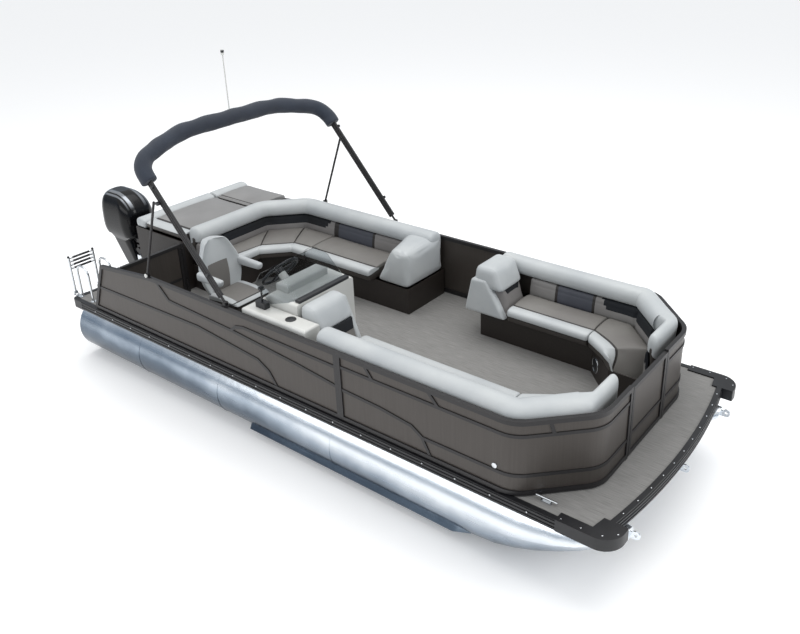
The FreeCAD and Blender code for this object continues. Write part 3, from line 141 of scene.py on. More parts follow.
def plain(name, scale, detail, low, high, rough, ends=(0.3, 0.7), pebble=0.0, **settings):
    """A finish that drifts between two tones, and is pebbled where its skin is."""
    made, tree, shader = surface(name, Roughness=rough, **settings)
    where = add(tree, "ShaderNodeTexCoord")
    drift = add(tree, "ShaderNodeTexNoise", [("Vector", where, "Object")], Scale=scale,
                Detail=detail)
    tone = add(tree, "ShaderNodeValToRGB", [("Fac", drift, "Fac")],
               ((ends[0], low), (ends[1], high)))
    tree.links.new(tone.outputs["Color"], shader.inputs["Base Color"])
    if pebble:
        raised = add(tree, "ShaderNodeBump", [("Height", drift, "Fac")], Strength=pebble,
                     Distance=0.001)
        tree.links.new(raised.outputs["Normal"], shader.inputs["Normal"])
    return made


aluminium, tree, shader = surface("mill_finish_aluminium", Metallic=1.0)
where = add(tree, "ShaderNodeTexCoord")
drawn = add(tree, "ShaderNodeMapping", [("Vector", where, "Object")], Scale=(0.6, 14, 14))
marks = add(tree, "ShaderNodeTexNoise", [("Vector", drawn, "Vector")], Scale=3.0, Detail=6.0)
cloudy = add(tree, "ShaderNodeTexNoise", [("Vector", where, "Object")], Scale=1.6, Detail=4.0)
parts = add(tree, "ShaderNodeSeparateXYZ", [("Vector", where, "Object")])
cloud_share, stern_share = 0.3, 0.045
clouds = add(tree, "ShaderNodeMath", [(0, cloudy, "Fac")], operation="MULTIPLY")
clouds.inputs[1].default_value = cloud_share
astern = add(tree, "ShaderNodeMath", [(0, parts, "X")], operation="MULTIPLY")
astern.inputs[1].default_value = stern_share
# Painted shade: the tone falls with height, aft and at the nose tips, and rises to a painted
# highlight on top.
painted_shade_and_clouds = add(tree, "ShaderNodeMath", [(0, parts, "Z"), (1, clouds, "Value")], operation="ADD")
painted_shade_and_clouds = add(tree, "ShaderNodeMath", [(0, painted_shade_and_clouds, "Value"), (1, astern, "Value")], operation="ADD")
tips = add(tree, "ShaderNodeMapRange", [("Value", parts, "X")], From_Min=2.4, From_Max=3.3,
           To_Min=0.0, To_Max=0.24)
painted_shade_and_clouds = add(tree, "ShaderNodeMath", [(0, painted_shade_and_clouds, "Value"), (1, tips, "Result")],
           operation="SUBTRACT")
tone = add(tree, "ShaderNodeValToRGB", [("Fac", painted_shade_and_clouds, "Value")],
           ((0.2, "47515d"), (0.4, "65717e"), (0.52, "a4afbb"), (0.64, "e0e5ea")))
tree.links.new(tone.outputs["Color"], shader.inputs["Base Color"])
dull = add(tree, "ShaderNodeMapRange", [("Value", marks, "Fac")], To_Min=0.16, To_Max=0.34)
tree.links.new(dull.outputs["Result"], shader.inputs["Roughness"])
dent = add(tree, "ShaderNodeBump", [("Height", cloudy, "Fac")], Strength=0.25, Distance=0.03)
tree.links.new(dent.outputs["Normal"], shader.inputs["Normal"])
paint(aluminium, "tube_port", "tube_centre", "tube_starboard", "motor_pod")

# The channels between the floats are extruded, with a dull etched skin.
channel_stock = plain("extruded_aluminium_channel", 9.0, 5.0, "8b9096", "a9aeb3", 0.45,
                      Metallic=1.0)
paint(channel_stock, "cross_channels", "chair_pedestal")


# Deck: woven vinyl glued to the board, warm grey with long darker threads to the bow.
# Real threads are about 1.5 mm; they are drawn 6 mm wide here so that they show.
woven_vinyl, tree, shader = surface("woven_vinyl_flooring", Roughness=0.72)
where = add(tree, "ShaderNodeTexCoord")
lengthwise = add(tree, "ShaderNodeMapping", [("Vector", where, "Object")], Scale=(2.2, 60, 1))
threads = add(tree, "ShaderNodeTexNoise", [("Vector", lengthwise, "Vector")], Scale=2.6,
              Detail=5.0, Roughness=0.65)
tone = add(tree, "ShaderNodeValToRGB", [("Fac", threads, "Fac")],
           ((0.3, "6c6b69"), (0.5, "7e7d7b"), (0.72, "8f8e8b")))
tree.links.new(tone.outputs["Color"], shader.inputs["Base Color"])
weave = add(tree, "ShaderNodeTexWave", [("Vector", where, "Object")], Scale=80.0,
            bands_direction="X", Distortion=1.5)
raised = add(tree, "ShaderNodeBump", [("Height", weave, "Fac")], Strength=0.12, Distance=0.002)
raised = add(tree, "ShaderNodeBump", [("Height", threads, "Fac"), ("Normal", raised, "Normal")],
             Strength=0.35, Distance=0.004)
tree.links.new(raised.outputs["Normal"], shader.inputs["Normal"])
paint(woven_vinyl, "deck_board")


# Rub rail: black extruded vinyl over the deck's edge, with cast corners at the bow.
# It is satin, with a greyer bloom where it has been rubbed.
black_vinyl = plain("extruded_black_vinyl", 7.0, 6.0, "0f0f12", "191a1d", 0.42, (0.35, 0.75))
paint(black_vinyl, "rub_rail")


# Fence: square aluminium rails with a charcoal powder coat, finely pebbled, round thin
# bronze coated sheets that show a faint drawn grain and a soft sheen. The canopy's bows
# and struts have the same coat.
powder_coat = plain("charcoal_powder_coat", 260.0, 2.0, "1d1c1d", "272526", 0.42, pebble=0.15,
                    Metallic=0.2)
paint(powder_coat, "fence_frame_port", "fence_frame_starboard", "stern_gate_posts",
      "bow_gate_frame", "stern_gate_frame", "bimini_frame", "strut_port", "strut_starboard",
      "bimini_feet")

bronze_sheet, tree, shader = surface("bronze_coated_sheet", Metallic=0.25, Roughness=0.42)
where = add(tree, "ShaderNodeTexCoord")
upright = add(tree, "ShaderNodeMapping", [("Vector", where, "Object")], Scale=(30, 30, 0.8))
grain = add(tree, "ShaderNodeTexNoise", [("Vector", upright, "Vector")], Scale=2.0, Detail=4.0)
tone = add(tree, "ShaderNodeValToRGB", [("Fac", grain, "Fac")],
           ((0.2, "3e3935"), (0.8, "45403c")))
tree.links.new(tone.outputs["Color"], shader.inputs["Base Color"])
paint(bronze_sheet, "fence_panels_port", "fence_panels_starboard", "bow_gate_panel",
      "stern_gate_panel")


# Furniture bases: rotationally moulded polyethylene, brown-black, matt, with the faint
# orange-peel skin of the mould.
moulded_brown = plain("moulded_polyethylene_brown_black", 120.0, 3.0, "1f1a17", "2a2420", 0.5,
                      pebble=0.2)
paint(moulded_brown, "aft_lounge_base", "port_bow_base", "starboard_bow_base", "sunpad_base",
      "chair_pan")


# Helm: the console and its side shelf are laid up in a mould under white gelcoat, which
# has a clear gloss. The wheel and the throttle are moulded in black nylon, a little duller,
# and the windscreen is a bent sheet of thin smoked acrylic.
gelcoat = plain("white_gelcoat", 3.0, 2.0, "c2c2be", "cdcdc9", 0.25, Coat_Weight=0.4)
paint(gelcoat, "console", "console_shelf", "light_pole")
black_moulding = plain("moulded_black_nylon", 160.0, 3.0, "121316", "1c1d20", 0.4)
paint(black_moulding, "helm_wheel", "throttle")

smoked = surface("smoked_acrylic", Base_Color=linear("ccd0d2"), Transmission_Weight=1.0,
                 Roughness=0.03, IOR=1.1)[0]
paint(smoked, "windscreen")


# Ladder, cleats and propeller: bent tube and castings of stainless steel. They are polished
# bright, with a faint haze where they have been handled.
stainless, tree, shader = surface("polished_stainless_steel", Base_Color=linear("d3d6d9"),
                                  Metallic=1.0)
where = add(tree, "ShaderNodeTexCoord")
haze = add(tree, "ShaderNodeTexNoise", [("Vector", where, "Object")], Scale=40.0, Detail=3.0)
dull = add(tree, "ShaderNodeMapRange", [("Value", haze, "Fac")], To_Min=0.08, To_Max=0.18)
tree.links.new(dull.outputs["Result"], shader.inputs["Roughness"])
paint(stainless, "ladder", "ladder_feet", "cleats", "propeller")


# Motor: aluminium castings and a moulded cowl, sprayed gloss black under a thin clear coat.
# The black is deep, so it shows little but its highlights.
gloss_black = plain("sprayed_gloss_black", 5.0, 3.0, "060608", "0c0c0f", 0.2,
                    Specular_IOR_Level=0.2, Coat_Weight=0.12)
paint(gloss_black, "outboard_clamp", "outboard_swivel", "outboard_leg", "outboard_engine")

# The cowl has a broad and a narrow silver band over each shoulder, sprayed before the clear.
banded, tree, shader = surface("sprayed_gloss_black_with_silver_bands", Roughness=0.2,
                               Specular_IOR_Level=0.2, Coat_Weight=0.12)
where = add(tree, "ShaderNodeTexCoord")
parts = add(tree, "ShaderNodeSeparateXYZ", [("Vector", where, "Object")])
across = add(tree, "ShaderNodeMath", [(0, parts, "Y")], operation="ABSOLUTE")
bands = add(tree, "ShaderNodeValToRGB", [("Fac", across, "Value")],
            ((0.0, "000000"), (0.07, "000000"), (0.074, "ffffff"), (0.112, "ffffff"),
             (0.116, "000000"), (0.131, "000000"), (0.135, "ffffff"), (0.147, "ffffff"),
             (0.151, "000000")))
upper = add(tree, "ShaderNodeMapRange", [("Value", parts, "Z")], From_Min=1.36, From_Max=1.46)
mask = add(tree, "ShaderNodeMath", [(0, bands, "Color"), (1, upper, "Result")],
           operation="MULTIPLY")
tone = add(tree, "ShaderNodeMix", [("Factor", mask, "Value")], data_type="RGBA")
tone.inputs["A"].default_value = linear("070709")
tone.inputs["B"].default_value = linear("8f9398")
tree.links.new(tone.outputs["Result"], shader.inputs["Base Color"])
tree.links.new(mask.outputs["Value"], shader.inputs["Metallic"])
paint(banded, "outboard_cowl")


# Upholstery: vinyl over foam on a moulded base. Pale bluish grey rolls and front strips,
# taupe seats with a darker fascia under the nose, and navy mesh let in below the roll.
# Each pad is a row of cross-sections; its seams stay put while the cloth between swells.
STERN = -3.34
DECK = 0.7575


def vinyl(name, low, high, rough=0.46):
    """Knitted-back marine vinyl: a calendered skin with a leather grain, satin to the light."""
    made, tree, shader = surface(name, Roughness=rough)
    where = add(tree, "ShaderNodeTexCoord")
    # The grain is about 1 mm; it is drawn 3 mm wide so that it shows.
    grain = add(tree, "ShaderNodeTexVoronoi", [("Vector", where, "Object")], Scale=320.0)
    sunned = add(tree, "ShaderNodeTexNoise", [("Vector", where, "Object")], Scale=2.4, Detail=4.0)
    tone = add(tree, "ShaderNodeValToRGB", [("Fac", sunned, "Fac")], ((0.3, low), (0.7, high)))
    tree.links.new(tone.outputs["Color"], shader.inputs["Base Color"])
    raised = add(tree, "ShaderNodeBump", [("Height", grain, "Distance")], Strength=0.12,
                 Distance=0.001)
    creased = add(tree, "ShaderNodeBump", [("Height", sunned, "Fac"), ("Normal", raised, "Normal")],
                  Strength=0.3, Distance=0.012)
    tree.links.new(creased.outputs["Normal"], shader.inputs["Normal"])
    return made


pale_vinyl = vinyl("pale_grey_marine_vinyl", "a9adaf", "b9bcbc")
taupe_vinyl = vinyl("taupe_marine_vinyl", "65625f", "72706c", 0.5)
light_taupe_vinyl = vinyl("light_taupe_marine_vinyl", "726f6e", "7f7d7b", 0.5)
slate_vinyl = vinyl("slate_marine_vinyl", "3c3f47", "484a53", 0.55)
fascia_vinyl = vinyl("dark_taupe_marine_vinyl", "36322f", "413c38", 0.5)
navy_mesh = vinyl("navy_mesh_vinyl", "04070c", "0a1018", 0.8)
piping_vinyl = vinyl("piping_dark_brown_vinyl", "221f1d", "2b2725", 0.5)
sun_vinyl = vinyl("grey_sunpad_marine_vinyl", "7b7a79", "888786", 0.5)
FINISHES = [pale_vinyl, taupe_vinyl, fascia_vinyl, piping_vinyl, navy_mesh, light_taupe_vinyl,
            slate_vinyl, sun_vinyl]
PALE, TAUPE, FASCIA, PIPING, NAVY, LIGHT, SLATE, SUN = range(8)


def place(x, y, z=0.0):
    """A point by its metres ahead of the deck's aft edge, to port, and over the deck."""
    return Vector((STERN + x, y, DECK + z))


# The last rings at a flat end and at a domed one: their share of the width, and their lift.
CAPS = (((0.7, 0), (0.4, 0), (0.15, 0)), ((0.92, 0.5), (0.66, 0.92), (0.2, 1)))
CAP_RINGS = 3


def skin(name, rings, finish_of, dome=0.0):
    """A closed skin over rings of points; its two ends are gathered in to rounded caps."""
    count = len(rings[0])
    points = []
    faces = []
    finishes = []
    for end, beside in ((0, 1), (-1, -2)):
        middle = sum(rings[end], Vector()) / count
        out = (middle - sum(rings[beside], Vector()) / count).normalized() * dome
        inner = [[middle + (p - middle) * share + out * lift for p in rings[end]]
                 for share, lift in CAPS[dome > 0]]
        rings = list(reversed(inner)) + rings if end == 0 else rings + inner
    last_row = len(rings) - 2 * CAP_RINGS - 2
    for ring in rings:
        points += ring
    for row in range(len(rings) - 1):
        for step in range(count):
            after = (step + 1) % count
            faces.append([row * count + step, row * count + after,
                          (row + 1) * count + after, (row + 1) * count + step])
            finishes.append(finish_of(min(max(row - CAP_RINGS, 0), last_row), step))
    faces.append(list(reversed(range(count))))
    faces.append([len(points) - count + step for step in range(count)])
    finishes += [finish_of(0, 0), finish_of(last_row, 0)]
    mesh = bpy.data.meshes.new(name)
    mesh.from_pydata(points, [], faces)
    made = bpy.data.objects.new(name, mesh)
    bpy.context.scene.collection.objects.link(made)
    for finish in FINISHES:
        mesh.materials.append(finish)
    for face, finish in zip(mesh.polygons, finishes):
        face.material_index = finish
    bpy.context.view_layer.objects.active = made
    made.select_set(True)
    bpy.ops.object.mode_set(mode="EDIT")
    bpy.ops.mesh.select_all(action="SELECT")
    bpy.ops.mesh.normals_make_consistent(inside=False)
    bpy.ops.object.mode_set(mode="OBJECT")
    bpy.ops.object.shade_smooth()
    bpy.ops.object.select_all(action="DESELECT")
    return made


def spread(pairs, spacing, seams=(), groove=0.007):
    """Stations along legs of paired back and front points; a seam gets one on each side."""
    stations = []
    for leg, (start, end) in enumerate(zip(pairs, pairs[1:])):
        length = max((end[0] - start[0]).length, (end[1] - start[1]).length)
        shares = {0.0: leg in seams, 1.0: leg + 1 in seams}
        for seam in seams:
            if leg < seam < leg + 1:
                shares[seam - leg] = True
        count = max(2, round(length / spacing))
        free = [k / count for k in range(1, count)]
        for share, sewn in list(shares.items()):
            if sewn:
                free += [share - groove / length, share + groove / length]
        marks = sorted(shares)
        for share in free:
            if 0 < share < 1 and min(abs(share - m) for m in marks) > 0.9 * groove / length:
                shares[share] = False
        for share in sorted(shares):
            if share == 0.0 and leg:
                continue
            stations.append((start[0].lerp(end[0], share), start[1].lerp(end[1], share),
                             shares[share]))
    return stations


NOSE_SEAM, TOP_SEAM = 5, 14
SEWN_DEPTH = 0.009


def seat(name, pairs, low, top, seams=(), strip=0.13, crown=0.014, back=TAUPE, nose=PALE):
    """A seat pad: fascia, rounded nose, sewn front strip and a crowned top, back to front."""
    rings = []
    held = []
    sewn_rows = set()
    for row, (rear, front, sewn) in enumerate(spread(pairs, 0.03, seams)):
        run = rear - front
        length = run.length
        inward = run.normalized()
        main = length - strip
        shape = [(length, low, 1), (length * 0.66, low, 1), (length * 0.33, low, 1),
                 (0.022, low, 1), (0.014, low + 0.035, 0), (0.012, low + 0.07, 1),
                 (0.006, low + 0.075, 1), (0.0, low + 0.09, 0), (0.002, top - 0.022, 0),
                 (0.012, top - 0.006, 0), (0.03, top + 0.002, 0),
                 (strip * 0.4, top + 0.006, 0), (strip * 0.7, top + 0.006, 0),
                 (strip - 0.008, top + 0.001, 0), (strip, top - 0.008, 1),
                 (strip + 0.008, top + 0.001, 0)]
        for share in (0.12, 0.25, 0.38, 0.5, 0.62, 0.75, 0.88):
            shape.append((strip + main * share, top + crown * math.sin(math.pi * share) ** 0.6, 0))
        shape += [(length - 0.012, top - 0.002, 0), (length - 0.002, top - 0.02, 1),
                  (length, (low + top) / 2, 1)]
        ring = []
        for step, (inset, height, stays) in enumerate(shape):
            upper = height > top - 0.03
            if sewn and upper:
                height = min(height, top + crown * 0.5) - SEWN_DEPTH
                sewn_rows.add(row)
            ring.append(Vector((front.x, front.y, DECK + height)) + inward * inset)
            held.append(stays or sewn)
        rings.append(ring)
    steps = len(rings[0])

    def finish_of(row, step):
        mitre = step > TOP_SEAM and (row in sewn_rows or row + 1 in sewn_rows)
        if mitre or step in (NOSE_SEAM, TOP_SEAM - 1, TOP_SEAM):
            return PIPING
        if step < NOSE_SEAM or step == steps - 1:
            return FASCIA
        return nose if step < TOP_SEAM - 1 else back

    made = skin(name, rings, finish_of)
    group = made.vertex_groups.new(name="sewn")
    lead = CAP_RINGS * steps
    total = len(made.data.vertices)
    pinned = [i for i in range(total)
              if i < lead + steps or i >= total - lead - steps
              or held[min(i - lead, len(held) - 1)]]
    group.add(pinned, 1.0, "REPLACE")
    return made


FOAM_TICKS, FOAM_PRESSURE = 16, 2.2


def swell(piece, most):
    """Foam pushes the cloth out between its seams; no point moves further than most."""
    rest = [v.co.copy() for v in piece.data.vertices]
    cloth = piece.modifiers.new("foam", "CLOTH")
    fabric = cloth.settings
    fabric.quality = 5
    fabric.mass = 0.4
    fabric.tension_stiffness = fabric.compression_stiffness = 25
    fabric.shear_stiffness = 12
    fabric.bending_stiffness = 2.0
    fabric.use_pressure = True
    fabric.uniform_pressure_force = FOAM_PRESSURE
    fabric.vertex_group_mass = "sewn"
    fabric.effector_weights.gravity = 0
    cloth.point_cache.frame_start = 1
    cloth.point_cache.frame_end = FOAM_TICKS
    for tick in range(1, FOAM_TICKS + 1):
        bpy.context.scene.frame_set(tick)
    bpy.context.view_layer.objects.active = piece
    bpy.ops.object.modifier_apply(modifier="foam")
    bpy.context.scene.frame_set(1)
    for vertex, start in zip(piece.data.vertices, rest):
        moved = vertex.co - start
        if moved.length > most:
            vertex.co = start + moved * (most / moved.length)
    return piece


def finished(piece, body, slot, *stands_for, fill=0.7):
    """Smooths a pad once more, hands it to its body and hides its CAD solids; its slot is not used.
    """
    bpy.context.view_layer.objects.active = piece
    soft = piece.modifiers.new("smooth", "SUBSURF")
    soft.levels = soft.render_levels = 1
    bpy.ops.object.modifier_apply(modifier="smooth")
    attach(piece, body)
    if stands_for:
        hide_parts(*stands_for)


def inward(path, distance):
    """A plan path moved to its right by a distance, with its corners kept sharp."""
    sides = [(b - a).normalized() for a, b in zip(path, path[1:])]
    sides = [sides[0]] + sides + [sides[-1]]
    moved = []
    for point, before, after in zip(path, sides, sides[1:]):
        first = Vector((before.y, -before.x, 0))
        last = Vector((after.y, -after.x, 0))
        middle = (first + last).normalized()
        moved.append(point + middle * (distance / middle.dot(first)))
    return moved


def rounded(path, bends, spacing=0.035):
    """Places and right-hand directions along a plan path whose corners are arcs."""
    runs = []
    start = path[0]
    if not isinstance(bends, list):
        bends = [bends] * len(path)
    for before, corner, after, bend in zip(path, path[1:], path[2:], bends):
        back = (before - corner).normalized()
        ahead = (after - corner).normalized()
        half = back.angle(ahead) / 2
        reach = bend / math.tan(half)
        first, last = corner + back * reach, corner + ahead * reach
        runs.append((start, first, None))
        centre = corner + (back + ahead).normalized() * (bend / math.sin(half))
        runs.append((first, last, centre))
        start = last
    runs.append((start, path[-1], None))
    places = []
    for first, last, centre in runs:
        count = max(2, math.ceil((last - first).length / spacing))
        for step in range(count):
            share = step / count
            if centre is None:
                point = first.lerp(last, share)
                heading = (last - first).normalized()
            else:
                a, b = first - centre, last - centre
                turn = math.atan2(a.x * b.y - a.y * b.x, a.dot(b)) * share
                spoke = Matrix.Rotation(turn, 3, "Z") @ a
                point = centre + spoke
                heading = Vector((-spoke.y, spoke.x, 0)).normalized()
                if heading.dot(last - first) < 0:
                    heading = -heading
            places.append((point, Vector((heading.y, -heading.x, 0))))
    heading = (path[-1] - path[-2]).normalized()
    places.append((path[-1].copy(), Vector((heading.y, -heading.x, 0))))
    return places


def swept(name, places, shape, finish_of, held_steps, mirror=False, dome=0.0):
    """A pad of one cross-section along places: shape gives inward reach and height."""
    rings = []
    for point, side in places:
        ring = [Vector((point.x, point.y, DECK + height)) + side * reach for reach, height in shape]
        if mirror:
            ring = [Vector((p.x, -p.y, p.z)) for p in ring]
        rings.append(ring)
    made = skin(name, rings, finish_of, dome)
    steps = len(shape)
    lead = CAP_RINGS * steps
    total = len(made.data.vertices)
    group = made.vertex_groups.new(name="sewn")
    group.add([i for i in range(total) if i < lead or i >= total - lead
               or (i % steps) in held_steps], 1.0, "REPLACE")
    return made


# The rolls and the backrests below them: inward reach and height of each point, in metres.
ROLL = [(-0.093, 0.30), (-0.093, 0.42), (-0.094, 0.54), (-0.102, 0.62), (-0.103, 0.68),
        (-0.094, 0.715), (-0.07, 0.74), (-0.03, 0.754), (0.015, 0.756), (0.055, 0.747),
        (0.084, 0.728), (0.101, 0.70), (0.107, 0.67), (0.107, 0.64), (0.10, 0.61),
        (0.084, 0.592), (0.06, 0.588), (0.02, 0.58), (0.0, 0.48), (-0.02, 0.38), (-0.03, 0.30)]
ROLL_HELD, ROLL_SEAM = (0, 1, 2, *range(15, 21)), 15
REST = [(0.0, 0.302), (0.06, 0.302), (0.094, 0.302), (0.096, 0.36), (0.098, 0.41),
        (0.098, 0.436), (0.097, 0.46), (0.093, 0.49), (0.089, 0.515), (0.085, 0.522),
        (0.084, 0.53), (0.082, 0.555), (0.079, 0.586), (0.05, 0.586), (0.01, 0.57), (0.0, 0.44)]
REST_HELD, REST_SEAM = (0, 1, 2, 3, 13, 14, 15), 6


# Aft lounge: an L of pads on lockers, against a roll that follows the fence. The long
# seat to port lifts; mitred corners have dark piping, and the arm closes the forward end.
def roll_finish(row, step):
    """Pale over the roll, dark below where it is fixed to the frame."""
    if step == ROLL_SEAM:
        return PIPING
    return PALE if 1 < step < ROLL_SEAM + 1 else FASCIA


def distances(places):
    """How far along a path each of its places is."""
    found = [0.0]
    for (a, _), (b, _) in zip(places, places[1:]):
        found.append(found[-1] + (b - a).length)
    return found


def mesh_edge(step):
    """The mesh band's ends slant with the height, by a little at each step."""
    return 0.012 * (12 - step)


aft_bend = 0.2
aft_line = [place(1.035, -0.30), place(1.035, 0.725), place(1.425, 1.12), place(2.93, 1.12)]
aft_places = rounded(aft_line, aft_bend)
bolster_line = [place(1.035, -0.262), aft_line[1], aft_line[2], place(3.325, 1.12)]
aft_bolster = swept("aft_lounge_roll", rounded(bolster_line, aft_bend), ROLL, roll_finish,
                    ROLL_HELD, dome=0.04)
finished(swell(aft_bolster, 0.008), "hull", "bolster_vinyl", "aft_lounge_back")
along = distances(aft_places)
# Where the mesh band and the slate panel lie, in metres from the backrest's starboard end.
AFT_MESH, AFT_SLATE = (0.2, 1.98), (2.1, 2.62)


def aft_rest_finish(row, step):
    """The panels under the roll: mesh round the stern, then slate and light taupe to port."""
    reach = along[row]
    if step > REST_SEAM and AFT_MESH[0] + mesh_edge(step) < reach < AFT_MESH[1] - mesh_edge(step):
        return NAVY
    if AFT_SLATE[0] - 0.04 < reach < AFT_SLATE[0] or AFT_SLATE[1] < reach < AFT_SLATE[1] + 0.04:
        return PIPING
    return SLATE if AFT_SLATE[0] <= reach <= AFT_SLATE[1] else LIGHT


aft_rest = swept("aft_lounge_backrest", aft_places, REST, aft_rest_finish, REST_HELD)
finished(swell(aft_rest, 0.008), "hull", "seat_vinyl", "aft_lounge_back")
low, top = 0.2903, 0.43
aft_pairs = [(place(1.141, -0.295), place(1.5, -0.295)), (place(1.141, 0.70), place(1.5, 0.21)),
             (place(1.45, 1.014), place(1.76, 0.47)), (place(1.947, 1.014), place(1.947, 0.47))]
aft_seat = seat("aft_seat_pad", aft_pairs, low, top, seams=(1, 2))
finished(swell(aft_seat, 0.012), "hull", "seat_vinyl", "aft_seat_fixed")
lid_pairs = [(place(1.959, 1.014), place(1.959, 0.47)), (place(2.921, 1.014), place(2.921, 0.47))]
aft_lid = seat("aft_lid_pad", lid_pairs, low, top)
finished(swell(aft_lid, 0.012), "aft_locker_lid", "seat_vinyl", "aft_seat_lid")


def faceted(name, foot, head, finish, soften, cuts, ease):
    """A wedge of foam under vinyl, from its foot and head outlines, softened at its edges."""
    bpy.ops.mesh.primitive_cube_add(size=1, location=(0, 0, 0))
    made = bpy.context.object
    made.name = made.data.name = name
    corners = {(-1, -1): 0, (1, -1): 1, (1, 1): 2, (-1, 1): 3}
    for vertex in made.data.vertices:
        key = corners[(round(vertex.co.x * 2), round(vertex.co.y * 2))]
        vertex.co = place(*(head if vertex.co.z > 0 else foot)[key])
    bpy.ops.object.mode_set(mode="EDIT")
    bpy.ops.mesh.select_all(action="SELECT")
    bpy.ops.mesh.bevel(offset=soften, segments=3, affect="EDGES")
    bpy.ops.mesh.subdivide(number_cuts=cuts, smoothness=0.0)
    bpy.ops.mesh.vertices_smooth(factor=0.5, repeat=ease)
    bpy.ops.mesh.normals_make_consistent(inside=False)
    # The bevel's points come in another order at each run, and the cloth follows that order,
    # so they are sorted by their distance from the origin.
    bpy.ops.mesh.sort_elements(type="CURSOR_DISTANCE", elements={"VERT", "EDGE", "FACE"})
    bpy.ops.object.mode_set(mode="OBJECT")
    made.data.materials.append(finish)
    floor_line = min(v.co.z for v in made.data.vertices) + soften
    group = made.vertex_groups.new(name="sewn")
    group.add([v.index for v in made.data.vertices if v.co.z < floor_line], 1.0, "REPLACE")
    bpy.ops.object.shade_smooth()
    bpy.ops.object.select_all(action="DESELECT")
    return made


def oblong(aft, fore, right, left, height, ahead=None):
    """A wedge's outline, from aft and right round by the bow; its fore edge may have a height
    of its own."""
    ahead = ahead or height
    return [(aft, right, height), (fore, right, ahead), (fore, left, ahead), (aft, left, height)]


def wedges(solid, *rows):
    """Foam wedges for one solid. A row gives name, foot, head and finish, the width of the
    softened edge, cuts and rounds of smoothing, and how far the cloth may swell."""
    for name, foot, head, finish, *softness, most in rows:
        made = faceted(name, foot, head, finish, *softness)
        slot = "bolster_vinyl" if finish == pale_vinyl else "seat_vinyl"
        finished(swell(made, most) if most else made, "hull", slot, solid)


wedges("aft_lounge_back",
       ("aft_lounge_arm",
        [(2.932, 0.572, 0.292), (3.38, 0.57, 0.292), (3.38, 1.213, 0.292), (2.932, 1.213, 0.292)],
        [(3.15, 0.585, 0.69), (3.372, 0.585, 0.69), (3.372, 1.213, 0.705), (2.95, 1.213, 0.705)],
        pale_vinyl, 0.06, 6, 8, 0.008))


# Sunpad: a wide and a narrow grey pad over the stern locker, with a pale roll in two
# lengths along their aft edge. The wide pad ends in a pale strip over the walkway, and
# all four are sewn to the hatch and lift with it.
pad_low, pad_top = 0.5906, 0.678
for name, outboard, inboard, strip, nose in (("sunpad_wide_pad", 0.677, -0.378, 0.16, PALE),
                                             ("sunpad_narrow_pad", 1.213, 0.683, 0.06, SUN)):
    pairs = [(place(x, outboard), place(x, inboard)) for x in (0.256, 0.932)]
    sun_pad = seat(name, pairs, pad_low, pad_top, strip=strip, crown=0.012, back=SUN, nose=nose)
    finished(swell(sun_pad, 0.01), "sunpad_hatch", "sunpad_vinyl", "sunpad_lid")
SUN_ROLL = [(-0.088, 0.592), (-0.09, 0.635), (-0.086, 0.668), (-0.068, 0.694), (-0.03, 0.708),
            (0.01, 0.709), (0.05, 0.701), (0.078, 0.684), (0.088, 0.66), (0.088, 0.625),
            (0.084, 0.592), (0.03, 0.592), (-0.03, 0.592)]
for name, start, end in (("sunpad_aft_roll_wide", -0.355, 0.652),
                         ("sunpad_aft_roll_narrow", 0.708, 1.19)):
    sun_roll = swept(name, rounded([place(0.16, start), place(0.16, end)], 0.1),
                     SUN_ROLL, lambda row, step: PALE, (0, 10, 11, 12), dome=0.022)
    finished(swell(sun_roll, 0.008), "sunpad_hatch", "sunpad_vinyl", "sunpad_lid")


# Bow lounges: a lifting seat and a corner seat on each side, under a roll that turns in
# along the fence to the gate. The port one ends aft in a headrest on a slanted backrest.
fence_line = [place(4.5943, 1.255), place(5.82, 1.255), place(6.304, 0.77), place(6.304, 0.33)]
roll_line = inward(fence_line, 0.15)
rail_line = inward(fence_line, 0.137)
seat_line = inward(fence_line, 0.253)
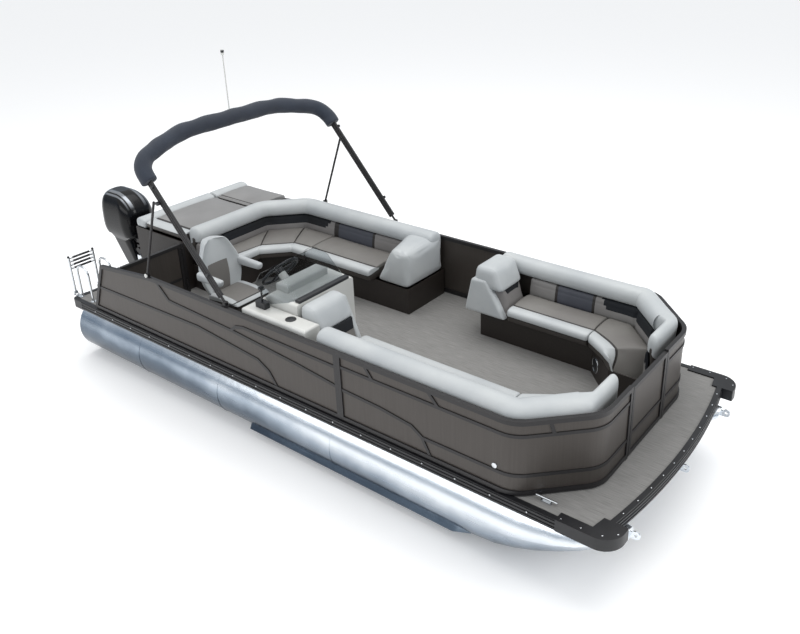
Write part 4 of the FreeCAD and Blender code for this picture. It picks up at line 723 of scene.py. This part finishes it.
# Where the mesh band and the slate panel lie, in metres from the backrest's end at the gate.
BOW_MESH, BOW_SLATE, PIPED = (0.03, 1.84), (1.94, 2.39), 0.035
for side, start, roll_start, body in (
        ("port", 4.6, 4.2145, "port_bow_locker_lid"),
        ("starboard", 3.8, 3.7945, "starboard_bow_locker_lid")):
    turn = -1 if side == "starboard" else 1

    def here(point):
        """The same point on this side of the boat."""
        return Vector((point.x, point.y * turn, point.z))

    path = [Vector((STERN + start - 0.0057, roll_line[0].y, 0)), roll_line[1], roll_line[2],
            Vector((roll_line[3].x, 0.347, 0))]
    places = rounded(path, 0.17)
    longer = [Vector((STERN + roll_start + 0.04, rail_line[0].y, 0)), rail_line[1], rail_line[2],
              Vector((rail_line[2].x, 0.375, 0))]
    roll_pad = swept(side + "_bow_roll", rounded(longer, 0.12), ROLL, roll_finish, ROLL_HELD,
                     turn < 0, 0.04)
    finished(swell(roll_pad, 0.008), "hull", "bolster_vinyl", side + "_bow_back")
    marks = distances(places)

    def bow_rest_finish(row, step):
        """Light panels with a slate one amidships and a mesh band let in round the corner."""
        reach = marks[-1] - marks[row]
        if step > REST_SEAM and BOW_MESH[0] < reach < BOW_MESH[1] - mesh_edge(step):
            return NAVY
        if any(0 < reach - end < PIPED for end in (BOW_SLATE[0] - PIPED, BOW_SLATE[1])):
            return PIPING
        return SLATE if BOW_SLATE[0] <= reach <= BOW_SLATE[1] else LIGHT

    rest_pad = swept(side + "_bow_backrest", places, REST, bow_rest_finish, REST_HELD, turn < 0)
    finished(swell(rest_pad, 0.008), "hull", "seat_vinyl", side + "_bow_back")
    long_pairs = [(here(place(start + 0.008, 1.002)), here(place(start + 0.008, 0.56))),
                  (here(place(5.472, 1.002)), here(place(5.472, 0.56)))]
    long_pad = seat(side + "_bow_long_pad", long_pairs, low, top)
    finished(swell(long_pad, 0.012), body, "seat_vinyl", side + "_bow_lid")
    backs = [place(5.484, 1.002), seat_line[1], seat_line[2], Vector((seat_line[2].x, 0.348, 0))]
    fronts = [place(5.484, 0.56), place(5.56, 0.508), place(5.68, 0.43), place(5.798, 0.348)]
    corner_pad = seat(side + "_bow_corner_pad",
                      [(here(b), here(f)) for b, f in zip(backs, fronts)], low, top)
    finished(swell(corner_pad, 0.012), "hull", "seat_vinyl", side + "_bow_seat")


# The port lounge's end: a moulded shell under pale vinyl, with a slanted taupe panel to
# lean on, a soft headrest strapped over the top and a small mesh pocket below it.
wedges("port_bow_back",
       ("port_bow_end_shell", oblong(4.104, 4.585, 0.568, 0.66, 0.292),
        [(4.175, 0.582, 0.650), (4.345, 0.596, 0.660), (4.345, 0.68, 0.660), (4.175, 0.68, 0.650)],
        pale_vinyl, 0.03, 4, 2, 0),
       ("port_bow_end_rear", oblong(4.106, 4.30, 0.64, 1.0, 0.292),
        oblong(4.175, 4.30, 0.66, 1.0, 0.650), pale_vinyl, 0.03, 4, 2, 0),
       ("port_bow_slant_panel", oblong(4.22, 4.583, 0.652, 0.998, 0.294),
        oblong(4.26, 4.47, 0.66, 0.998, 0.62), light_taupe_vinyl, 0.03, 4, 2, 0.008),
       ("port_bow_headrest", oblong(4.18, 4.53, 0.60, 1.02, 0.56, 0.545),
        oblong(4.20, 4.43, 0.62, 1.02, 0.785), pale_vinyl, 0.06, 6, 6, 0.012),
       ("port_bow_mesh_pocket", oblong(4.47, 4.526, 0.74, 0.92, 0.47),
        oblong(4.455, 4.494, 0.69, 0.97, 0.60), navy_mesh, 0.01, 2, 1, 0))


# The console's forward face is a backrest for the bow lounge: a taupe panel with a dark
# mesh slot in it, a pale strip down its open side and a fat pillow over the top.
wedges("starboard_bow_back",
       ("console_rest_panel", oblong(3.46, 3.787, -1.03, -0.606, 0.292),
        oblong(3.46, 3.675, -1.03, -0.606, 0.62), taupe_vinyl, 0.03, 4, 2, 0.01),
       ("console_rest_slot", oblong(3.60, 3.728, -0.99, -0.64, 0.50),
        oblong(3.60, 3.70, -1.01, -0.62, 0.605), navy_mesh, 0.01, 2, 1, 0),
       ("console_rest_side", oblong(3.438, 3.788, -0.625, -0.563, 0.292),
        [(3.45, -0.63, 0.79), (3.60, -0.63, 0.79), (3.60, -0.575, 0.78), (3.45, -0.575, 0.78)],
        pale_vinyl, 0.02, 5, 2, 0),
       ("console_rest_pillow", oblong(3.438, 3.715, -1.036, -0.585, 0.595),
        oblong(3.442, 3.61, -1.03, -0.59, 0.822), pale_vinyl, 0.06, 6, 6, 0.012))


# Helm chair: a bucket of foam under vinyl. The shield-shaped back wraps forward at its
# sides round a taupe panel, and two short padded arms swing from it.
chair_x, chair_y = 2.27, -0.745
pairs = [(place(chair_x - 0.225, chair_y + side), place(chair_x + 0.228, chair_y + side))
         for side in (-0.21, 0.21)]
chair_seat = seat("chair_seat_pad", pairs, 0.402, 0.494, strip=0.065, crown=0.01)
# The seat's two sides are pale, as the strip round its nose is.
for face in chair_seat.data.polygons:
    if abs(face.center.y - chair_y) > 0.155 and face.material_index == TAUPE:
        face.material_index = PALE
finished(swell(chair_seat, 0.01), "helm_chair", "bolster_vinyl", "chair_cushions")
# Height and half width up the back. It leans 85 mm aft in 600 mm, and is deepest at its sides.
BACK_WIDTHS = ((0.43, 0.17), (0.50, 0.198), (0.56, 0.225), (0.62, 0.243), (0.69, 0.248),
               (0.76, 0.245), (0.82, 0.226), (0.88, 0.196), (0.93, 0.17), (0.975, 0.146),
               (1.0, 0.12))
rings = []
for height, half in BACK_WIDTHS:
    middle = chair_x - 0.27 - 0.085 * (height - 0.43) / 0.6
    ring = []
    for step in range(13):
        across = -1 + step / 6
        wrap = abs(across) ** 3
        ring.append(place(middle + 0.03 + 0.075 * wrap, chair_y + half * across, height))
    for step in range(13):
        across = 1 - step / 6
        wrap = abs(across) ** 3
        ring.append(place(middle - 0.055 + 0.11 * wrap, chair_y + half * 1.03 * across, height))
    rings.append(ring)


def chair_back_finish(row, step):
    """A taupe panel set into a pale surround."""
    inside = row <= 4 and 3 <= step <= 8
    return TAUPE if inside else PALE


chair_back = skin("chair_back_pad", rings, chair_back_finish)
finished(chair_back, "helm_chair", "bolster_vinyl", "chair_cushions")
for side, offset in (("starboard", -0.25), ("port", 0.25)):
    y = chair_y + offset
    rest = faceted("chair_arm_" + side,
                   oblong(chair_x - 0.27, chair_x + 0.08, y - 0.036, y + 0.036, 0.655, 0.67),
                   oblong(chair_x - 0.27, chair_x + 0.10, y - 0.036, y + 0.036, 0.752, 0.745),
                   pale_vinyl, 0.03, 4, 4)
    finished(rest, "helm_chair", "bolster_vinyl", "chair_cushions")


# Bimini boot: the canvas and its bows, rolled up in a zipped sleeve of dark acrylic cloth.
# The sleeve is a little slack, so it wrinkles across and bulges between the ties.
canvas, tree, shader = surface("woven_acrylic_canvas", Roughness=0.85, Sheen_Weight=0.15)
where = add(tree, "ShaderNodeTexCoord")
# The threads are about 0.5 mm; they are drawn 3 mm wide so that they show.
threads = add(tree, "ShaderNodeTexVoronoi", [("Vector", where, "Object")], Scale=300.0)
faded = add(tree, "ShaderNodeTexNoise", [("Vector", where, "Object")], Scale=3.0, Detail=5.0)
tone = add(tree, "ShaderNodeValToRGB", [("Fac", faded, "Fac")],
           ((0.3, "1f2530"), (0.7, "2a313d")))
tree.links.new(tone.outputs["Color"], shader.inputs["Base Color"])
raised = add(tree, "ShaderNodeBump", [("Height", threads, "Distance")], Strength=0.25,
             Distance=0.001)
creased = add(tree, "ShaderNodeBump", [("Height", faded, "Fac"), ("Normal", raised, "Normal")],
              Strength=0.5, Distance=0.02)
tree.links.new(creased.outputs["Normal"], shader.inputs["Normal"])
bow_lean = math.radians(41)
rise = Vector((-math.sin(bow_lean), 0, math.cos(bow_lean)))
ahead = Vector((math.cos(bow_lean), 0, math.sin(bow_lean)))
hinge = place(2.69, 0, 0.706)
boot_radius, boot_sides = 0.081, 24
# The arch's corner points, by their metres to port and up the bows from the hinge.
arch = [Vector((1.238, 1.33, 0)), Vector((1.238, 1.55, 0)), Vector((0.644, 1.735, 0)),
        Vector((-0.644, 1.735, 0)), Vector((-1.238, 1.55, 0)), Vector((-1.238, 1.33, 0))]
rings = []
for row, (point, beside) in enumerate(rounded(arch, [0.23, 1.5, 1.5, 0.23], 0.03)):
    centre = hinge + rise * point.y + Vector((0, point.x, 0))
    outward = (rise * beside.y + Vector((0, beside.x, 0))) * -1
    ring = []
    for step in range(boot_sides):
        angle = math.tau * step / boot_sides
        slack = 0.0016 * math.sin(row * 0.37 + 2 * angle) + 0.0012 * math.sin(row * 0.9 + 3 * angle)
        under = max(0.0, -math.cos(angle)) ** 2
        radius = boot_radius + slack + 0.006 * under * math.sin(row * 0.55)
        ring.append(centre + (outward * math.cos(angle) + ahead * math.sin(angle)) * radius)
    rings.append(ring)
boot = skin("bimini_canvas_boot", rings, lambda row, step: PALE)
boot.data.materials.clear()
boot.data.materials.append(canvas)
finished(boot, "bimini", "boot_canvas", "bimini_boot", fill=0.6)


# Fastenings: stainless screws with domed heads hold the rub rail, its corner castings and
# the bow trim. They are set 325 mm apart along the sides and 190 mm apart across the bow.
BRIGHT, NYLON = ("stainless", stainless), ("black_plastic", black_moulding)


def hard(piece, body, slot_and_finish, spots=()):
    """Gives a hard piece its body and finish; the slot is not used. With spots, one copy stands at
    each.
    """
    bpy.ops.object.select_all(action="DESELECT")
    for spot in spots[1:]:
        twin = piece.copy()
        twin.data = piece.data.copy()
        twin.data.transform(Matrix.Translation(spot))
        bpy.context.scene.collection.objects.link(twin)
        twin.select_set(True)
    for spot in spots[:1]:
        piece.data.transform(Matrix.Translation(spot))
    piece.select_set(True)
    bpy.context.view_layer.objects.active = piece
    if len(spots) > 1:
        bpy.ops.object.join()
    slot, finish = slot_and_finish
    piece.data.materials.clear()
    piece.data.materials.append(finish)
    bpy.ops.object.shade_smooth_by_angle(angle=math.radians(35))
    bpy.ops.object.select_all(action="DESELECT")
    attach(piece, body)


def rimmed(name, bevel):
    """Names the new primitive and bevels its rims."""
    made = bpy.context.object
    made.name = made.data.name = name
    rims = made.modifiers.new("rims", "BEVEL")
    rims.width = bevel
    rims.segments = 2
    bpy.ops.object.modifier_apply(modifier="rims")
    return made


def turned(name, radius, depth, bevel, axis="Z", sides=24):
    """A short cylinder at the origin along an axis, its rims bevelled."""
    bpy.ops.mesh.primitive_cylinder_add(radius=radius, depth=depth, vertices=sides)
    made = rimmed(name, bevel)
    turns = {"X": Matrix.Rotation(math.pi / 2, 4, "Y"), "Y": Matrix.Rotation(math.pi / 2, 4, "X"),
             "Z": Matrix.Identity(4)}
    made.data.transform(turns[axis])
    return made


first_screw, side_pitch, bow_pitch = 0.45, 0.325, 0.19
screw_radius, screw_depth, screw_rim = 0.007, 0.005, 0.0018
deck_length, trim_inset, trim_height = 6.68, 0.026, 0.0155
deck_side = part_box("rub_rail")[1][1]
sag, reach = 0.095, deck_side - 0.225
bow_radius = (reach ** 2 + sag ** 2) / (2 * sag)
spots = [place(first_screw + side_pitch * step, turn * (deck_side + 0.0005), -0.036)
         for turn in (-1, 1) for step in range(18)]
screws = turned("rail_side_screws", screw_radius, screw_depth, screw_rim, "Y", 10)
hard(screws, "hull", BRIGHT, spots)
spots = []
for step in range(-5, 6):
    across = step * bow_pitch
    edge = deck_length - (bow_radius - math.sqrt(bow_radius ** 2 - across ** 2))
    spots.append(place(edge - trim_inset, across, trim_height))
spots += [place(x, turn * y, trim_height) for turn in (-1, 1)
          for x, y in ((6.24, 1.262), (6.40, 1.262), (6.56, 1.245), (6.645, 1.17))]
screws = turned("bow_trim_screws", screw_radius, screw_depth, screw_rim, "Z", 10)
hard(screws, "hull", BRIGHT, spots)


# Small fittings, moulded in black nylon: knobs and clamps that hold the canopy's bows
# together, and the cap of the all-round light. The struts' feet have white caps, and the
# two side lights at the bow have bright rims.
knobs = turned("canopy_clamp_knobs", 0.017, 0.022, 0.004, "Y", 12)
hard(knobs, "bimini", NYLON,
     [hinge + rise * distance + ahead * 0.028 + Vector((0, turn * 1.262, 0))
      for turn in (-1, 1) for distance in (0.30, 1.27)])
clamps = turned("strut_clamps", 0.02, 0.03, 0.005, "Y", 16)
clamps.data.transform(Matrix.Diagonal((1.5, 1, 0.9, 1)))
hard(clamps, "bimini", NYLON, [place(1.928, turn * 1.266, 1.53) for turn in (-1, 1)])
caps = turned("strut_foot_caps", 0.021, 0.014, 0.006, "Y", 20)
hard(caps, "hull", ("console_gelcoat", gelcoat),
     [place(1.56, turn * 1.292, 0.70) for turn in (-1, 1)])
lenses = turned("bow_side_lights", 0.024, 0.018, 0.006, "Y", 24)
hard(lenses, "hull", BRIGHT, [place(5.67, turn * 1.262, 0.232) for turn in (-1, 1)])
pole_low, pole_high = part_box("light_pole")
hard(turned("light_cap", 0.0175, 0.03, 0.006), "bimini", NYLON,
     [Vector(((pole_low[0] + pole_high[0]) / 2, 0, pole_high[2] - 0.0165))])


# Helm fittings: an extruded black seal under the windscreen's front edge, and a black ring
# and liner pressed into the cup holder.
seal = faceted("windscreen_seal", oblong(3.368, 3.43, -1.0, -0.345, 0.80),
               oblong(3.368, 3.425, -1.0, -0.345, 0.838), black_moulding, 0.008, 1, 0)
hard(seal, "hull", NYLON)


def hoop(name, radius, thickness, facing):
    """A round ring, bent from rod and closed, set where it belongs by a matrix."""
    bpy.ops.mesh.primitive_torus_add(major_radius=radius, minor_radius=thickness,
                                     major_segments=40, minor_segments=10)
    made = bpy.context.object
    made.name = made.data.name = name
    made.data.transform(facing)
    return made


cup = place(3.44, -1.1325, 0.7205)
hard(hoop("cup_holder_ring", 0.0465, 0.004, Matrix.Translation(cup)), "hull", NYLON)
hard(turned("cup_holder_liner", 0.043, 0.003, 0.001, "Z", 40), "hull", NYLON,
     [cup - Vector((0, 0, 0.004))])


# Ladder fittings: black nylon pads snapped over the four treads, and caps pushed into the
# open ends of its two side tubes.
ladder_x, ladder_y, tread_top, tread_gap = -0.045, -1.06, 0.448, 0.0418
hard(turned("ladder_tread_pads", 0.0122, 0.21, 0.002, "Y", 20), "boarding_ladder", NYLON,
     [place(ladder_x, ladder_y, tread_top - tread_gap * step) for step in range(4)])
hard(turned("ladder_end_caps", 0.0138, 0.022, 0.005, "Z", 20), "boarding_ladder", NYLON,
     [place(ladder_x, ladder_y + offset, 0.464) for offset in (-0.15, 0.15)])


# Speakers: one in each slanted face under the bow seats, a black paper cone in a bright
# pressed ring. The face looks aft and inboard, 45.4 degrees off the boat's side.
for turn, side in ((-1, "starboard"), (1, "port")):
    facing = (Matrix.Translation(place(5.564, turn * 0.5835, 0.14))
              @ Matrix.Rotation(math.radians(-45.4) * turn, 4, "Z"))
    cone = turned(side + "_speaker_cone", 0.068, 0.008, 0.002, "Y", 32)
    cone.data.transform(facing)
    hard(cone, "hull", NYLON)
    upright = Matrix.Rotation(math.pi / 2, 4, "X")
    hard(hoop(side + "_speaker_ring", 0.072, 0.006, facing @ upright), "hull", BRIGHT)


# Gauges: a gloss black panel let into the hood over the wheel, with three round dials in
# bright bezels. The dials stay blank.
bpy.ops.mesh.primitive_cube_add(size=1, location=(0, 0, 0))
low, high = place(3.054, -0.90, 0.838), place(3.063, -0.44, 0.888)
for vertex in bpy.context.object.data.vertices:
    vertex.co = [high[i] if vertex.co[i] > 0 else low[i] for i in range(3)]
hard(rimmed("gauge_panel", 0.003), "hull", ("cowl_gloss", gloss_black))
hard(turned("gauge_bezels", 0.021, 0.008, 0.002, "X", 28), "hull", BRIGHT,
     [place(3.052, y, 0.863) for y in (-0.82, -0.67, -0.52)])
